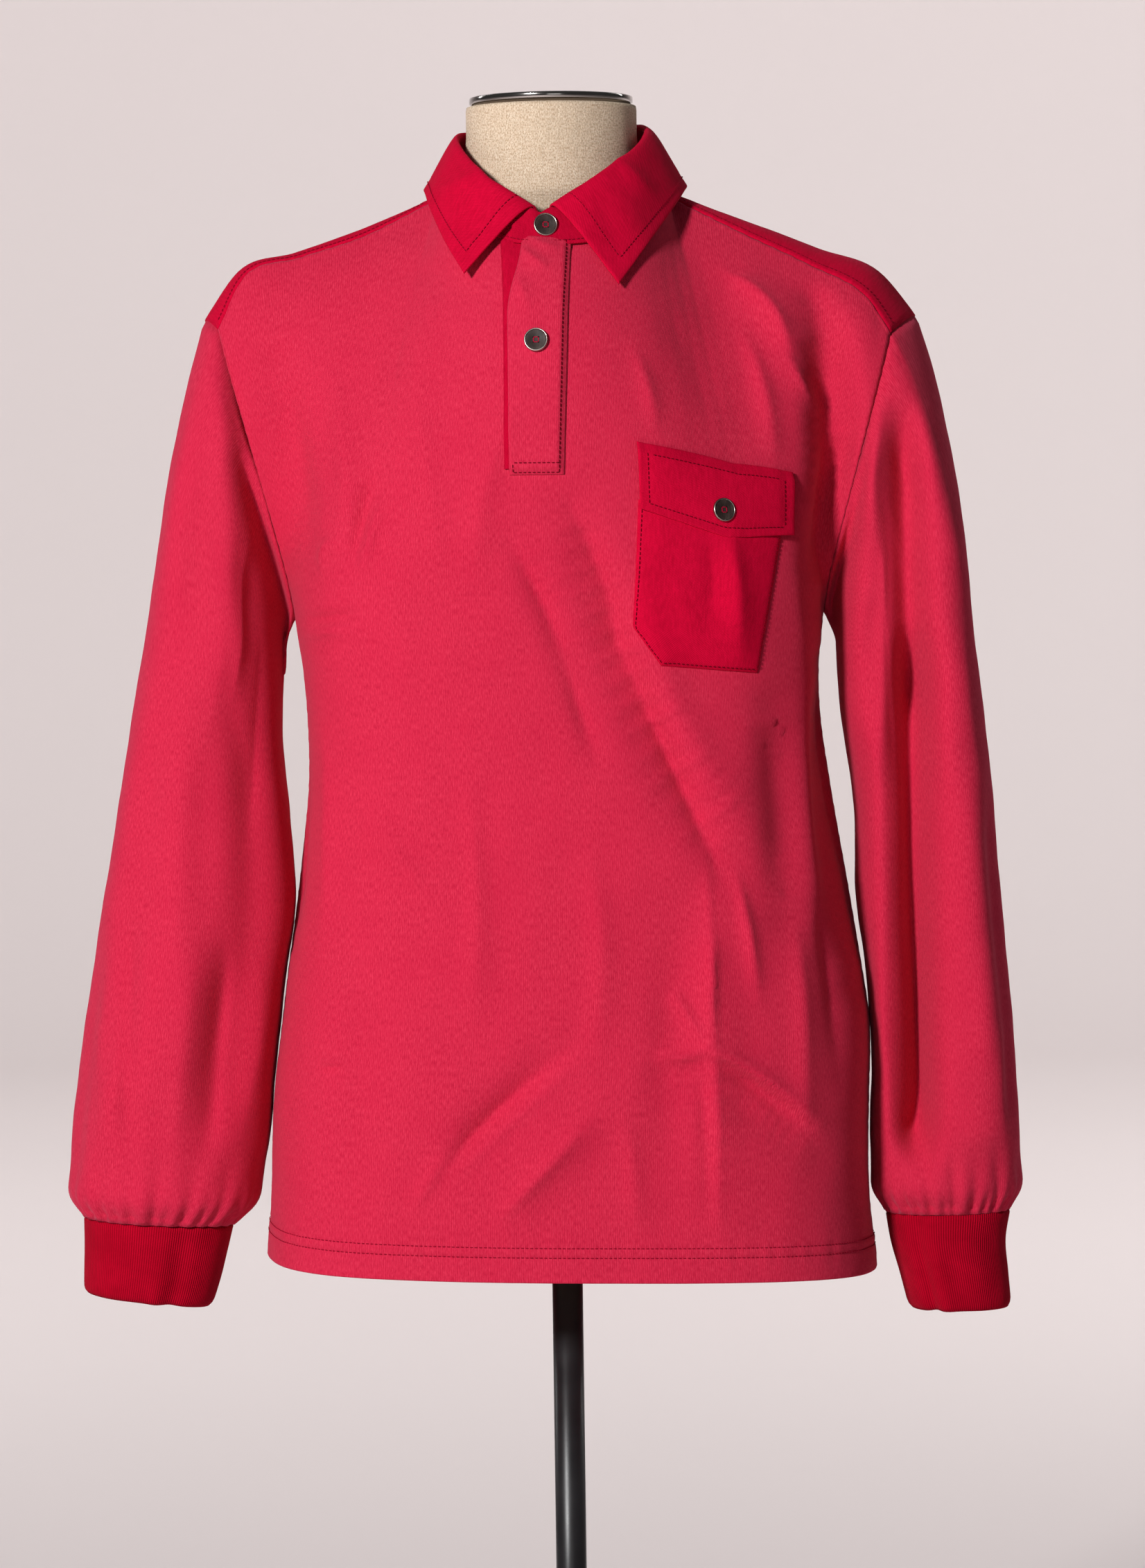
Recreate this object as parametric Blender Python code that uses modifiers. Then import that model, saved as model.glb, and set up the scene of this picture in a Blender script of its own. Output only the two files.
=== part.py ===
"""Long-sleeved polo shirt worn by a limbless dress form on a round-footed stand.

Metres, +Z up, the front of the shirt faces -Y. The origin is the middle of the foot's underside.
Left and right are the viewer's, looking at the front. Cloth is a thin wall lofted through sections.
"""

from math import pi

import bpy
import mathutils
import numpy as np

# Cloth
JERSEY = 0.0018
TWILL = 0.0015
RIB = 0.0022
SEAM_GAP = 0.0003
SEAM_GAP_TURNED = 0.0006

# Shirt levels
HEM_Z = 0.650
HEM_SLANT = 0.008
ARMPIT_Z = 1.095
CAP_END_Z = 1.070

# Neckline: an oval that dips at the front
NECK_HALF_WIDTH = 0.080
NECK_CENTRE_Y = -0.012
NECK_FRONT_REACH = 0.076
NECK_BACK_REACH = 0.082
NECK_SIDE_Z = 1.3765
NECK_FRONT_DROP = 0.031
NECK_BACK_RISE = 0.0175

# Share of the panel's width, from its middle, that belongs to the neckline
NECK_SHARE = 0.42

# Body sections: height, reach to the left and right side seam, front and back depth
BODY_SECTIONS = [
    # z      left    right   front    back
    (0.650, 0.2060, 0.2125, -0.1260, 0.1160),
    (0.700, 0.2025, 0.2080, -0.1265, 0.1130),
    (0.760, 0.2000, 0.2090, -0.1270, 0.1100),
    (0.811, 0.1940, 0.2100, -0.1270, 0.1070),
    (0.860, 0.1875, 0.2035, -0.1265, 0.1040),
    (0.905, 0.1810, 0.1965, -0.1260, 0.1010),
    (0.944, 0.1760, 0.1900, -0.1260, 0.1000),
    (0.982, 0.1725, 0.1840, -0.1260, 0.1000),
    (1.020, 0.1725, 0.1790, -0.1265, 0.1010),
    (1.058, 0.1750, 0.1780, -0.1270, 0.1040),
    (1.095, 0.1800, 0.1820, -0.1280, 0.1080),
]
BODY_SQUARENESS = 0.24

# Shoulder sections from the neck out: front yoke seam, top of the shoulder, back yoke seam
SHOULDER_RIGHT = [
    # u     front x  y       z       top x   y       z       back x  y       z
    (0.00, 0.0800, -0.0120, 1.3765, 0.0960, 0.0220, 1.3700, 0.0850, 0.0980, 1.2900),
    (0.30, 0.1300, -0.0260, 1.3500, 0.1350, 0.0060, 1.3577, 0.1270, 0.0950, 1.2850),
    (0.60, 0.1730, -0.0340, 1.3285, 0.1800, 0.0040, 1.3410, 0.1660, 0.0880, 1.2790),
    (0.85, 0.2110, -0.0430, 1.3060, 0.2240, 0.0020, 1.3235, 0.2010, 0.0750, 1.2720),
    (1.00, 0.2270, -0.0480, 1.2810, 0.2470, 0.0000, 1.2950, 0.2200, 0.0600, 1.2620),
]
SHOULDER_LEFT = [
    (0.00, -0.0800, -0.0120, 1.3765, -0.0960, 0.0220, 1.3680, -0.0850, 0.0980, 1.2900),
    (0.30, -0.1280, -0.0140, 1.3530, -0.1330, 0.0120, 1.3550, -0.1270, 0.0950, 1.2850),
    (0.60, -0.1720, -0.0150, 1.3390, -0.1770, 0.0120, 1.3400, -0.1660, 0.0880, 1.2790),
    (0.85, -0.2110, -0.0190, 1.3250, -0.2180, 0.0100, 1.3270, -0.2010, 0.0750, 1.2720),
    (1.00, -0.2280, -0.0280, 1.2900, -0.2390, 0.0000, 1.2980, -0.2180, 0.0600, 1.2620),
]
# Where over the shoulder, from front seam to back seam, the yoke passes its top points
YOKE_TOP_SHARE = 0.36
# Top of the yoke beside and behind the neck: reach to the side, depth beside, further depth and drop behind
YOKE_NECK_X = 0.096
YOKE_NECK_Y = 0.022
YOKE_NECK_BACK = 0.064
YOKE_NECK_Z = 1.369
YOKE_NECK_DROP = 0.010
BACK_SEAM_BOW = 0.006
# Tangents of the upper front and back: middle of the panel, then what its side edge adds
PANEL_TANGENTS = {
    # side: leave y, z, edge y, edge z, arrive y, z, edge y, edge z
    -1.0: (0.0, 0.260, -0.170, -0.100, 0.180, 0.190, -0.110, -0.060),
    1.0: (0.0, 0.190, 0.120, -0.030, -0.015, 0.180, -0.035, -0.060),
}
EDGE_LEAVE_X = 0.020
EDGE_ARRIVE_X = 0.030

# Sleeve sections: height, reach of the inner and outer side, front and back depth
SLEEVE_RIGHT = [
    # z      inner   outer   front    back
    (0.6820, 0.2190, 0.3055, -0.0400, 0.0330),
    (0.7000, 0.2115, 0.3118, -0.0480, 0.0410),
    (0.7300, 0.2100, 0.3110, -0.0530, 0.0450),
    (0.7800, 0.2114, 0.3090, -0.0560, 0.0460),
    (0.8400, 0.2084, 0.3045, -0.0580, 0.0460),
    (0.9000, 0.2018, 0.2998, -0.0600, 0.0480),
    (0.9600, 0.2010, 0.2950, -0.0620, 0.0500),
    (1.0200, 0.1930, 0.2890, -0.0640, 0.0560),
    (1.0700, 0.1900, 0.2835, -0.0630, 0.0590),
]
SLEEVE_LEFT = [
    (0.6820, 0.2300, 0.3310, -0.0420, 0.0330),
    (0.7000, 0.2140, 0.3395, -0.0520, 0.0410),
    (0.7300, 0.2055, 0.3400, -0.0580, 0.0450),
    (0.7800, 0.1990, 0.3345, -0.0600, 0.0460),
    (0.8400, 0.1915, 0.3248, -0.0620, 0.0460),
    (0.9000, 0.1832, 0.3150, -0.0630, 0.0480),
    (0.9600, 0.1860, 0.3038, -0.0640, 0.0500),
    (1.0200, 0.1900, 0.2935, -0.0640, 0.0560),
    (1.0700, 0.1880, 0.2850, -0.0630, 0.0590),
]
SLEEVE_SQUARENESS = 0.10

# Cuff sections, with the drop of the inner side below the outer one
CUFF_RIGHT = [
    # z      inner   outer   front    back    inner drop
    (0.6140, 0.2350, 0.3055, -0.0330, 0.0290, 0.0010),
    (0.6380, 0.2290, 0.3035, -0.0350, 0.0300, 0.0010),
    (0.6600, 0.2230, 0.3020, -0.0370, 0.0310, 0.0010),
    (0.6815, 0.2195, 0.3055, -0.0400, 0.0330, 0.0010),
]
CUFF_LEFT = [
    (0.6325, 0.2450, 0.3330, -0.0330, 0.0290, 0.0120),
    (0.6470, 0.2390, 0.3326, -0.0360, 0.0300, 0.0080),
    (0.6650, 0.2340, 0.3320, -0.0390, 0.0310, 0.0070),
    (0.6850, 0.2290, 0.3320, -0.0420, 0.0330, 0.0070),
]

# Folds: an arc through three points on the panel, half its width, and its depth (inwards is negative)
FRONT_FOLDS = [
    # x1      z1      x2      z2      x3      z3      width   depth
    (0.014, 1.170, 0.042, 1.060, 0.110, 0.930, 0.017, -0.0075),
    (0.050, 1.120, 0.075, 1.030, 0.128, 0.950, 0.016, 0.0050),
    (-0.026, 1.145, 0.008, 1.070, 0.028, 1.010, 0.015, -0.0040),
    (0.104, 0.900, 0.104, 0.800, 0.108, 0.690, 0.015, 0.0045),
    (0.078, 0.900, 0.072, 0.800, 0.070, 0.700, 0.016, -0.0040),
    (0.070, 0.790, 0.120, 0.770, 0.172, 0.730, 0.014, -0.0050),
    (-0.080, 0.725, -0.045, 0.765, 0.005, 0.815, 0.016, -0.0045),
    (-0.045, 0.690, -0.015, 0.725, 0.025, 0.765, 0.015, 0.0035),
    (-0.142, 0.880, -0.140, 0.800, -0.145, 0.720, 0.017, -0.0040),
    (-0.128, 1.125, -0.122, 1.160, -0.112, 1.190, 0.014, -0.0040),
    (0.168, 1.285, 0.178, 1.235, 0.180, 1.150, 0.013, -0.0110),
    (0.115, 1.325, 0.155, 1.290, 0.160, 1.230, 0.015, 0.0050),
    (0.146, 1.030, 0.152, 0.970, 0.152, 0.890, 0.016, -0.0090),
    (-0.188, 1.270, -0.178, 1.200, -0.172, 1.130, 0.013, -0.0080),
]
BACK_FOLDS = [
    (-0.120, 1.240, -0.110, 1.120, -0.060, 0.960, 0.018, -0.0060),
    (0.110, 1.230, 0.095, 1.120, 0.050, 0.980, 0.018, -0.0070),
    (-0.030, 1.050, -0.025, 0.900, -0.035, 0.740, 0.018, -0.0050),
    (0.060, 0.950, 0.075, 0.850, 0.070, 0.720, 0.018, 0.0050),
    (-0.130, 0.950, -0.125, 0.850, -0.130, 0.720, 0.018, 0.0045),
    (0.150, 1.060, 0.150, 0.950, 0.145, 0.840, 0.016, -0.0080),
    (-0.150, 1.060, -0.148, 0.950, -0.150, 0.840, 0.016, -0.0080),
]
# Sleeve folds: angle round the sleeve from its outer side over the front, half width in degrees
SLEEVE_FOLDS_RIGHT = [
    # angle  width  depth    z top  z bottom
    (118.0, 16.0, -0.0100, 1.200, 0.720),
    (62.0, 18.0, 0.0040, 1.150, 0.760),
    (30.0, 14.0, -0.0040, 1.000, 0.720),
    (235.0, 18.0, -0.0070, 1.150, 0.740),
    (300.0, 16.0, -0.0050, 1.100, 0.760),
]
SLEEVE_FOLDS_LEFT = [
    (52.0, 16.0, -0.0055, 1.050, 0.760),
    (84.0, 15.0, 0.0045, 1.120, 0.740),
    (126.0, 17.0, -0.0070, 1.180, 0.740),
    (24.0, 13.0, -0.0040, 0.900, 0.700),
    (240.0, 18.0, -0.0070, 1.150, 0.740),
    (305.0, 16.0, -0.0050, 1.100, 0.760),
]
# Slope of the sleeve's outer side where it leaves the shoulder and at the armpit's level
CAP_SLOPES = {1.0: (0.30, 0.12), -1.0: (0.20, 0.20)}
# Direction in which the sleeve leaves the armhole, outwards, forwards and down: on top, beside, below
CAP_TOP_FALL = -0.96
CAP_BESIDE = (0.60, 0.45, -0.48)
CAP_BELOW = (0.22, 0.0, -1.0)
# Angle from the sleeve's top at which the yoke's seams meet it, in front and behind
YOKE_TURN_FRONT = 34
YOKE_TURN_BACK = 322
GATHER_DEPTH = 0.0026
GATHER_HEIGHT = 0.045
SLANT_HEIGHT = 0.080

# Collar
ROLL_HALF_WIDTH = 0.0642
ROLL_CENTRE_Y = -0.003
ROLL_REACH = 0.0785
ROLL_FRONT_Z = 1.372
ROLL_SIDE_RISE = 0.052
ROLL_BACK_RISE = 0.008
ROLL_FRONT_SHIFT = 0.0075
ROLL_TILT = 0.002
STAND_LAP_START = -4.0
STAND_LAP_END = 19.0
STAND_LAP_LIFT = 0.0024
STAND_FRONT_DROP = 0.0026
LEAF_START = 8.0
LEAF_LIFT = 0.0025
# How far the leaf swings out from its fold, at the front and at the left side
LEAF_SWING = 0.38
LEAF_SWING_LEFT = 0.24
# Collar edge: turn from the front middle in degrees, x, y, z
LEAF_EDGE_LEFT = [
    (8.0, -0.0596, -0.1010, 1.3225),
    (40.0, -0.0740, -0.0700, 1.3480),
    (75.0, -0.0860, -0.0230, 1.3780),
    (120.0, -0.0820, 0.0400, 1.3860),
    (180.0, 0.0000, 0.0985, 1.3840),
]
LEAF_EDGE_RIGHT = [
    (8.0, 0.0438, -0.1070, 1.3135),
    (40.0, 0.0665, -0.0760, 1.3450),
    (75.0, 0.0890, -0.0230, 1.3780),
    (120.0, 0.0850, 0.0400, 1.3860),
    (180.0, 0.0000, 0.0985, 1.3840),
]

# Pieces on the front, by x and z seen from the front
LIE_GAP = 0.0007
PLACKET_TOP_Z = 1.3450
PLACKET_NECK_GAP = 0.0020
PLACKET_BOTTOM_Z = 1.1870
PLACKET_LEFT_X = -0.0311
PLACKET_RIGHT_TOP_X = 0.0125
PLACKET_RIGHT_BOTTOM_X = 0.0060
PLACKET_CURVE = 0.0110
PLACKET_CURVE_Z = 1.2900
UNDER_LEFT_X = -0.0345
UNDER_RIGHT_X = -0.0060
UNDER_THICKNESS = 0.0010
# Pocket and flap corners: upper left, upper right, lower right, lower left
POCKET_CORNERS = [(0.0555, 1.1700), (0.1530, 1.1560), (0.1335, 1.0540), (0.0690, 1.0600)]
POCKET_LEFT_BEND = (0.0505, 1.0860)
FLAP_CORNERS = [(0.0545, 1.2080), (0.1575, 1.1870), (0.1570, 1.1450), (0.0560, 1.1640)]
FLAP_POINT = (0.1125, 1.1440)
FLAP_LIFT = 0.0030

# Buttons
BUTTON_RADIUS = 0.0080
BUTTON_THICKNESS = 0.0026
BUTTON_RIM = 0.0007
BUTTON_LIFT = 0.0006
BUTTON_PLACKET = (-0.0135, 1.2800)
BUTTON_POCKET = (0.1120, 1.1650)
BUTTON_STAND_TURN = -5.5

# Dress form and stand
NECK_RADIUS = 0.0582
NECK_TOP_Z = 1.4430
CAP_RADIUS = 0.0558
CAP_TOP_Z = 1.4500
FORM_BOTTOM_Z = 0.7200
FORM_SECTIONS = [
    # z      centre x half    front    back     squareness
    (0.7200, 0.0030, 0.1500, -0.0950, 0.0900, 0.10),
    (0.7300, 0.0030, 0.1600, -0.1030, 0.0960, 0.10),
    (0.8000, 0.0030, 0.1680, -0.1080, 0.0980, 0.12),
    (0.8800, 0.0030, 0.1600, -0.1040, 0.0920, 0.12),
    (0.9600, 0.0030, 0.1520, -0.1020, 0.0860, 0.12),
    (1.0400, 0.0020, 0.1600, -0.1100, 0.0900, 0.14),
    (1.1200, 0.0020, 0.1680, -0.1180, 0.0960, 0.16),
    (1.1800, 0.0020, 0.1720, -0.1150, 0.0950, 0.14),
    (1.2400, 0.0020, 0.1740, -0.0960, 0.0900, 0.06),
    (1.2800, 0.0020, 0.1800, -0.0740, 0.0800, 0.00),
    (1.3050, 0.0020, 0.1810, -0.0540, 0.0680, 0.00),
    (1.3200, 0.0030, 0.1740, -0.0430, 0.0600, 0.00),
    (1.3374, 0.0030, 0.1540, -0.0387, 0.0600, 0.00),
    (1.3477, 0.0005, 0.1280, -0.0408, 0.0620, 0.00),
    (1.3565, 0.0000, 0.0955, -0.0414, 0.0620, 0.00),
    (1.3660, 0.0000, 0.0750, -0.0540, 0.0640, 0.00),
    (1.3800, 0.0000, 0.0660, -0.0600, 0.0640, 0.00),
    (1.4000, 0.0000, 0.0595, -0.0585, 0.0600, 0.00),
    (1.4200, 0.0000, 0.0582, -0.0582, 0.0582, 0.00),
    (1.4430, 0.0000, 0.0582, -0.0582, 0.0582, 0.00),
]
FORM_TURNS = 32
POLE_RADIUS = 0.0105
FLANGE_RADIUS = 0.0350
FLANGE_HEIGHT = 0.0200
FOOT_RADIUS = 0.1700
FOOT_THICKNESS = 0.0080
HUB_RADIUS = 0.0220
HUB_TOP_Z = 0.0340
ROUND_STEPS = 32

# Grid steps
NECK_STEPS = 14
SHOULDER_STEPS = 8
LOWER_STEPS = 14
FRONT_STEPS = 8
BACK_STEPS = 7
YOKE_STEPS = 7
CAP_STEPS = 6
SLEEVE_STEPS = 11

FRONT = -1.0
BACK = 1.0


def clear_scene():
    for thing in list(bpy.data.objects):
        bpy.data.objects.remove(thing, do_unlink=True)


def hermite(start, end, leave, arrive, t):
    """Point at t on the curve from start to end with the two given tangents."""
    return (
        (2 * t**3 - 3 * t**2 + 1) * start
        + (t**3 - 2 * t**2 + t) * leave
        + (3 * t**2 - 2 * t**3) * end
        + (t**3 - t**2) * arrive
    )


def read_table(table, at):
    """Reads every column of a table, smoothly, at the given values of its first column."""
    table = np.array(table)
    keys = table[:, 0]
    values = table[:, 1:]
    slopes = np.gradient(values, keys, axis=0)
    at = np.clip(np.asarray(at, float), keys[0], keys[-1])
    row = np.clip(np.searchsorted(keys, at, side="right") - 1, 0, len(keys) - 2)
    span = (keys[row + 1] - keys[row])[..., None]
    t = (at[..., None] - keys[row][..., None]) / span
    return hermite(values[row], values[row + 1], slopes[row] * span, slopes[row + 1] * span, t)


def joined(*parts):
    """Stacks coordinates into points."""
    return np.stack(np.broadcast_arrays(*parts), axis=-1)


def ease(value, low, high):
    """Rises softly from 0 at low to 1 at high."""
    t = np.clip((value - low) / (high - low), 0, 1)
    return t * t * (3 - 2 * t)


def normals_of(surface, a, b, step=1e-3):
    """Unit normals of a surface of two parameters."""
    along = surface(a + step, b) - surface(a - step, b)
    up = surface(a, b + step) - surface(a, b - step)
    normal = np.cross(along, up)
    return normal / np.linalg.norm(normal, axis=-1, keepdims=True)


def fold_depth(folds, x, z):
    """Sum of the soft folds at a place on a panel."""
    total = np.zeros(np.shape(x))
    t = np.linspace(0, 1, 17)
    for x1, z1, x2, z2, x3, z3, width, depth in folds:
        mid_x = 2 * x2 - (x1 + x3) / 2
        mid_z = 2 * z2 - (z1 + z3) / 2
        line_x = (1 - t) ** 2 * x1 + 2 * t * (1 - t) * mid_x + t**2 * x3
        line_z = (1 - t) ** 2 * z1 + 2 * t * (1 - t) * mid_z + t**2 * z3
        away = (x[..., None] - line_x) ** 2 + (z[..., None] - line_z) ** 2
        nearest = away.argmin(axis=-1)
        fade = np.sin(pi * np.clip(t[nearest], 0.06, 0.94)) ** 0.7
        total += depth * fade * np.exp(-away.min(axis=-1) / width**2)
    return total


def body_section(side, s, z):
    """Point of the front or back half below the armpit, s from -1 at the left seam to 1 at the right."""
    left, right, front, back = np.moveaxis(read_table(BODY_SECTIONS, z), -1, 0)
    depth = front if side == FRONT else back
    turn = s * pi / 2
    x = (right - left) / 2 + (right + left) / 2 * np.sin(turn) * (1 + BODY_SQUARENESS * np.cos(turn) ** 2)
    y = depth * np.cos(turn) * (1 + BODY_SQUARENESS * np.sin(turn) ** 2)
    return joined(x, y, z)


def neckline(side, p):
    """Point of the neckline, p from -1 at the left shoulder to 1 at the right one."""
    turn = p * pi / 2
    reach = NECK_FRONT_REACH if side == FRONT else NECK_BACK_REACH
    rise = -NECK_FRONT_DROP if side == FRONT else NECK_BACK_RISE
    x = NECK_HALF_WIDTH * np.sin(turn)
    y = NECK_CENTRE_Y + side * reach * np.cos(turn)
    z = NECK_SIDE_Z + rise * np.cos(turn)
    return joined(x, y, z)


def shoulder(s):
    """The three shoulder points (front seam, top, back seam) beyond the neck."""
    u = np.clip((np.abs(s) - NECK_SHARE) / (1 - NECK_SHARE), 0, 1)
    right = read_table(SHOULDER_RIGHT, u)
    left = read_table(SHOULDER_LEFT, u)
    values = np.where((s > 0)[..., None], right, left)
    return values[..., 0:3], values[..., 3:6], values[..., 6:9]


def top_of_front(s):
    """Upper edge of the front: neckline in the middle, yoke seams beside it."""
    seam, _, _ = shoulder(s)
    middle = neckline(FRONT, np.clip(s / NECK_SHARE, -1, 1))
    return np.where((np.abs(s) < NECK_SHARE)[..., None], middle, seam)


def top_of_back(s):
    """Back yoke seam."""
    _, _, seam = shoulder(s)
    p = np.clip(s / NECK_SHARE, -1, 1)
    seam_x, seam_y, seam_z = SHOULDER_RIGHT[0][7:]
    middle = joined(seam_x * p, seam_y + BACK_SEAM_BOW * np.cos(p * pi / 2), seam_z + 0 * p)
    return np.where((np.abs(s) < NECK_SHARE)[..., None], middle, seam)


def yoke(s, t):
    """Yoke, t from the front seam or the neckline over the shoulder to the back seam."""
    seam, top, back = shoulder(s)
    p = np.clip(s / NECK_SHARE, -1, 1)
    round_neck = np.cos(p * pi / 2)
    neck_top = joined(
        YOKE_NECK_X * np.sin(p * pi / 2),
        YOKE_NECK_Y + YOKE_NECK_BACK * round_neck,
        YOKE_NECK_Z - YOKE_NECK_DROP * round_neck,
    )
    near_neck = (np.abs(s) < NECK_SHARE)[..., None]
    start = np.where(near_neck, neckline(BACK, p), seam)
    middle = np.where(near_neck, neck_top, top)
    end = top_of_back(s)
    t = np.asarray(t)[..., None]
    m = YOKE_TOP_SHARE
    return (
        start * (t - m) * (t - 1) / m
        + middle * t * (t - 1) / (m * (m - 1))
        + end * t * (t - m) / (1 - m)
    )


def upper_panel(side, s, w):
    """Point of the front or back above the armpit, w from 0 at the armpit to 1 at the top."""
    start = body_section(side, s, ARMPIT_Z + 0 * s)
    end = top_of_front(s) if side == FRONT else top_of_back(s)
    edge = np.abs(s) ** 6
    leave_y, leave_z, leave_edge_y, leave_edge_z, *rest = PANEL_TANGENTS[side]
    arrive_y, arrive_z, arrive_edge_y, arrive_edge_z = rest
    out = edge * np.sign(s)
    leave = joined(EDGE_LEAVE_X * out, leave_y + leave_edge_y * edge, leave_z + leave_edge_z * edge)
    arrive = joined(EDGE_ARRIVE_X * out, arrive_y + arrive_edge_y * edge, arrive_z + arrive_edge_z * edge)
    return hermite(start, end, leave, arrive, np.asarray(w)[..., None])


def plain_panel(side, s, v):
    """Whole front or back without folds: v runs 0 to 1 up to the armpit and 1 to 2 above it."""
    s = np.asarray(s, float)
    v = np.asarray(v, float)
    hem = HEM_Z - HEM_SLANT * s
    z = hem + (ARMPIT_Z - hem) * np.minimum(v, 1)
    lower = body_section(side, s, z)
    upper = upper_panel(side, s, np.maximum(v - 1, 0))
    return np.where((v <= 1)[..., None], lower, upper)


def panel(side, s, v):
    """Whole front or back with its folds, which die out at the seams."""
    s = np.asarray(s, float)
    v = np.asarray(v, float)
    base = plain_panel(side, s, v)
    normal = -side * normals_of(lambda a, b: plain_panel(side, a, b), s, v)
    calm = ease(1 - np.abs(s), 0.0, 0.14) * ease(2 - v, 0.0, 0.18)
    folds = FRONT_FOLDS if side == FRONT else BACK_FOLDS
    depth = fold_depth(folds, base[..., 0], base[..., 2])
    return base + normal * (depth * calm)[..., None]


def front_at(x, z):
    """Point and outward normal of the front where it is seen at x and z."""
    x = np.asarray(x, float)
    z = np.asarray(z, float)
    s = x / 0.21
    v = np.where(z < ARMPIT_Z, (z - HEM_Z) / (ARMPIT_Z - HEM_Z), 1 + (z - ARMPIT_Z) / 0.25)
    step = 1e-3
    for _ in range(12):
        here = panel(FRONT, s, v)
        by_s = (panel(FRONT, s + step, v) - here) / step
        by_v = (panel(FRONT, s, v + step) - here) / step
        miss_x = x - here[..., 0]
        miss_z = z - here[..., 2]
        area = by_s[..., 0] * by_v[..., 2] - by_s[..., 2] * by_v[..., 0]
        s = s + (miss_x * by_v[..., 2] - miss_z * by_v[..., 0]) / area
        v = v + (miss_z * by_s[..., 0] - miss_x * by_s[..., 2]) / area
    normal = normals_of(lambda a, b: panel(FRONT, a, b), s, v, step=4e-3)
    return panel(FRONT, s, v), normal


def material(name, colour, roughness, metallic=0.0):
    made = bpy.data.materials.get(name)
    if made is None:
        made = bpy.data.materials.new(name)
        made.use_nodes = True
        shader = made.node_tree.nodes["Principled BSDF"]
        shader.inputs["Base Color"].default_value = (*colour, 1)
        shader.inputs["Roughness"].default_value = roughness
        shader.inputs["Metallic"].default_value = metallic
    return made


def jersey():
    return material("jersey", (0.62, 0.012, 0.06), 0.85)


def twill():
    return material("twill", (0.40, 0.003, 0.022), 0.8)


def rib():
    return material("rib", (0.32, 0.002, 0.015), 0.85)


def linen():
    return material("linen", (0.58, 0.47, 0.35), 0.9)


def bright_metal():
    return material("bright_metal", (0.75, 0.75, 0.76), 0.15, 1.0)


def black_steel():
    return material("black_steel", (0.02, 0.02, 0.022), 0.4, 0.6)


def button_face():
    return material("button_face", (0.05, 0.035, 0.03), 0.45)


def add_mesh(name, points, faces, finish, collection):
    mesh = bpy.data.meshes.new(name)
    mesh.from_pydata([tuple(p) for p in points], [], faces)
    mesh.materials.append(finish)
    mesh.validate()
    mesh.shade_smooth()
    thing = bpy.data.objects.new(name, mesh)
    collection.objects.link(thing)
    return thing


def unit(vectors):
    return vectors / np.linalg.norm(vectors, axis=-1, keepdims=True)


def grid_normals(grid, closed):
    """Unit normals at the points of a grid of rows and columns, wrapped round where it is closed."""
    up = np.gradient(grid, axis=0)
    if closed:
        along = np.roll(grid, -1, axis=1) - np.roll(grid, 1, axis=1)
    else:
        along = np.gradient(grid, axis=1)
    return unit(np.cross(along, up))


def wall(name, outer, thickness, finish, collection, closed=False, normals=None):
    """Thin closed wall: the given outer points, inner points one thickness behind them, and rims."""
    if normals is None:
        normals = grid_normals(outer, closed)
    inner = outer - normals * thickness
    rows, columns = outer.shape[:2]
    points = np.concatenate([outer.reshape(-1, 3), inner.reshape(-1, 3)])
    behind = rows * columns
    last = columns if closed else columns - 1
    faces = []
    for r in range(rows - 1):
        for c in range(last):
            a = r * columns + c
            b = r * columns + (c + 1) % columns
            faces.append((a, b, b + columns, a + columns))
            faces.append((a + columns + behind, b + columns + behind, b + behind, a + behind))
    top = (rows - 1) * columns
    for c in range(last):
        a = c
        b = (c + 1) % columns
        faces.append((b, a, a + behind, b + behind))
        faces.append((a + top, b + top, b + top + behind, a + top + behind))
    if not closed:
        for r in range(rows - 1):
            a = r * columns
            faces.append((a, a + columns, a + columns + behind, a + behind))
            b = a + columns - 1
            faces.append((b + columns, b, b + behind, b + columns + behind))
    return add_mesh(name, points, faces, finish, collection)


def solid_loft(name, rings, finish, collection):
    """Closed body through rings of points, from the lowest to the highest."""
    rows, columns = rings.shape[:2]
    faces = [tuple(range(columns))[::-1]]
    for r in range(rows - 1):
        for c in range(columns):
            a = r * columns + c
            b = r * columns + (c + 1) % columns
            faces.append((a, b, b + columns, a + columns))
    faces.append(tuple(range((rows - 1) * columns, rows * columns)))
    return add_mesh(name, rings.reshape(-1, 3), faces, finish, collection)


def shoulder_columns():
    """Column places of the panels: left shoulder, neck, right shoulder."""
    left = np.linspace(-1, -NECK_SHARE, SHOULDER_STEPS + 1)[:-1]
    neck = np.linspace(-NECK_SHARE, NECK_SHARE, NECK_STEPS + 1)
    return np.concatenate([left, neck, -left[::-1]])


def panel_rows(upper_steps):
    lower = np.linspace(0, 1, LOWER_STEPS + 1)[:-1]
    upper = np.linspace(1, 2, upper_steps + 1)
    return np.concatenate([lower, upper])


def panel_normals(side, s, v):
    """Outward normals of a panel, read just inside its seams."""
    inside = np.clip(s, -0.998, 0.998)
    return -side * normals_of(lambda a, b: plain_panel(side, a, b), inside, np.minimum(v, 1.998))


def yoke_normals(s, t):
    return normals_of(yoke, np.clip(s, -0.998, 0.998), np.clip(t, 0.002, 0.998))


def front_seam_normals(s):
    """Shared by the front and the yoke along their seam, so that their rims stay parallel."""
    return unit(panel_normals(FRONT, s, 2 + 0 * s) + yoke_normals(s, 0 * s))


def back_seam_normals(s):
    return unit(panel_normals(BACK, s, 2 + 0 * s) + yoke_normals(s, 1 + 0 * s))


def parted(edge, next_line):
    """Draws the edge of a grid back from its seam by half the gap."""
    return edge + unit(next_line - edge) * SEAM_GAP / 2


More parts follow.
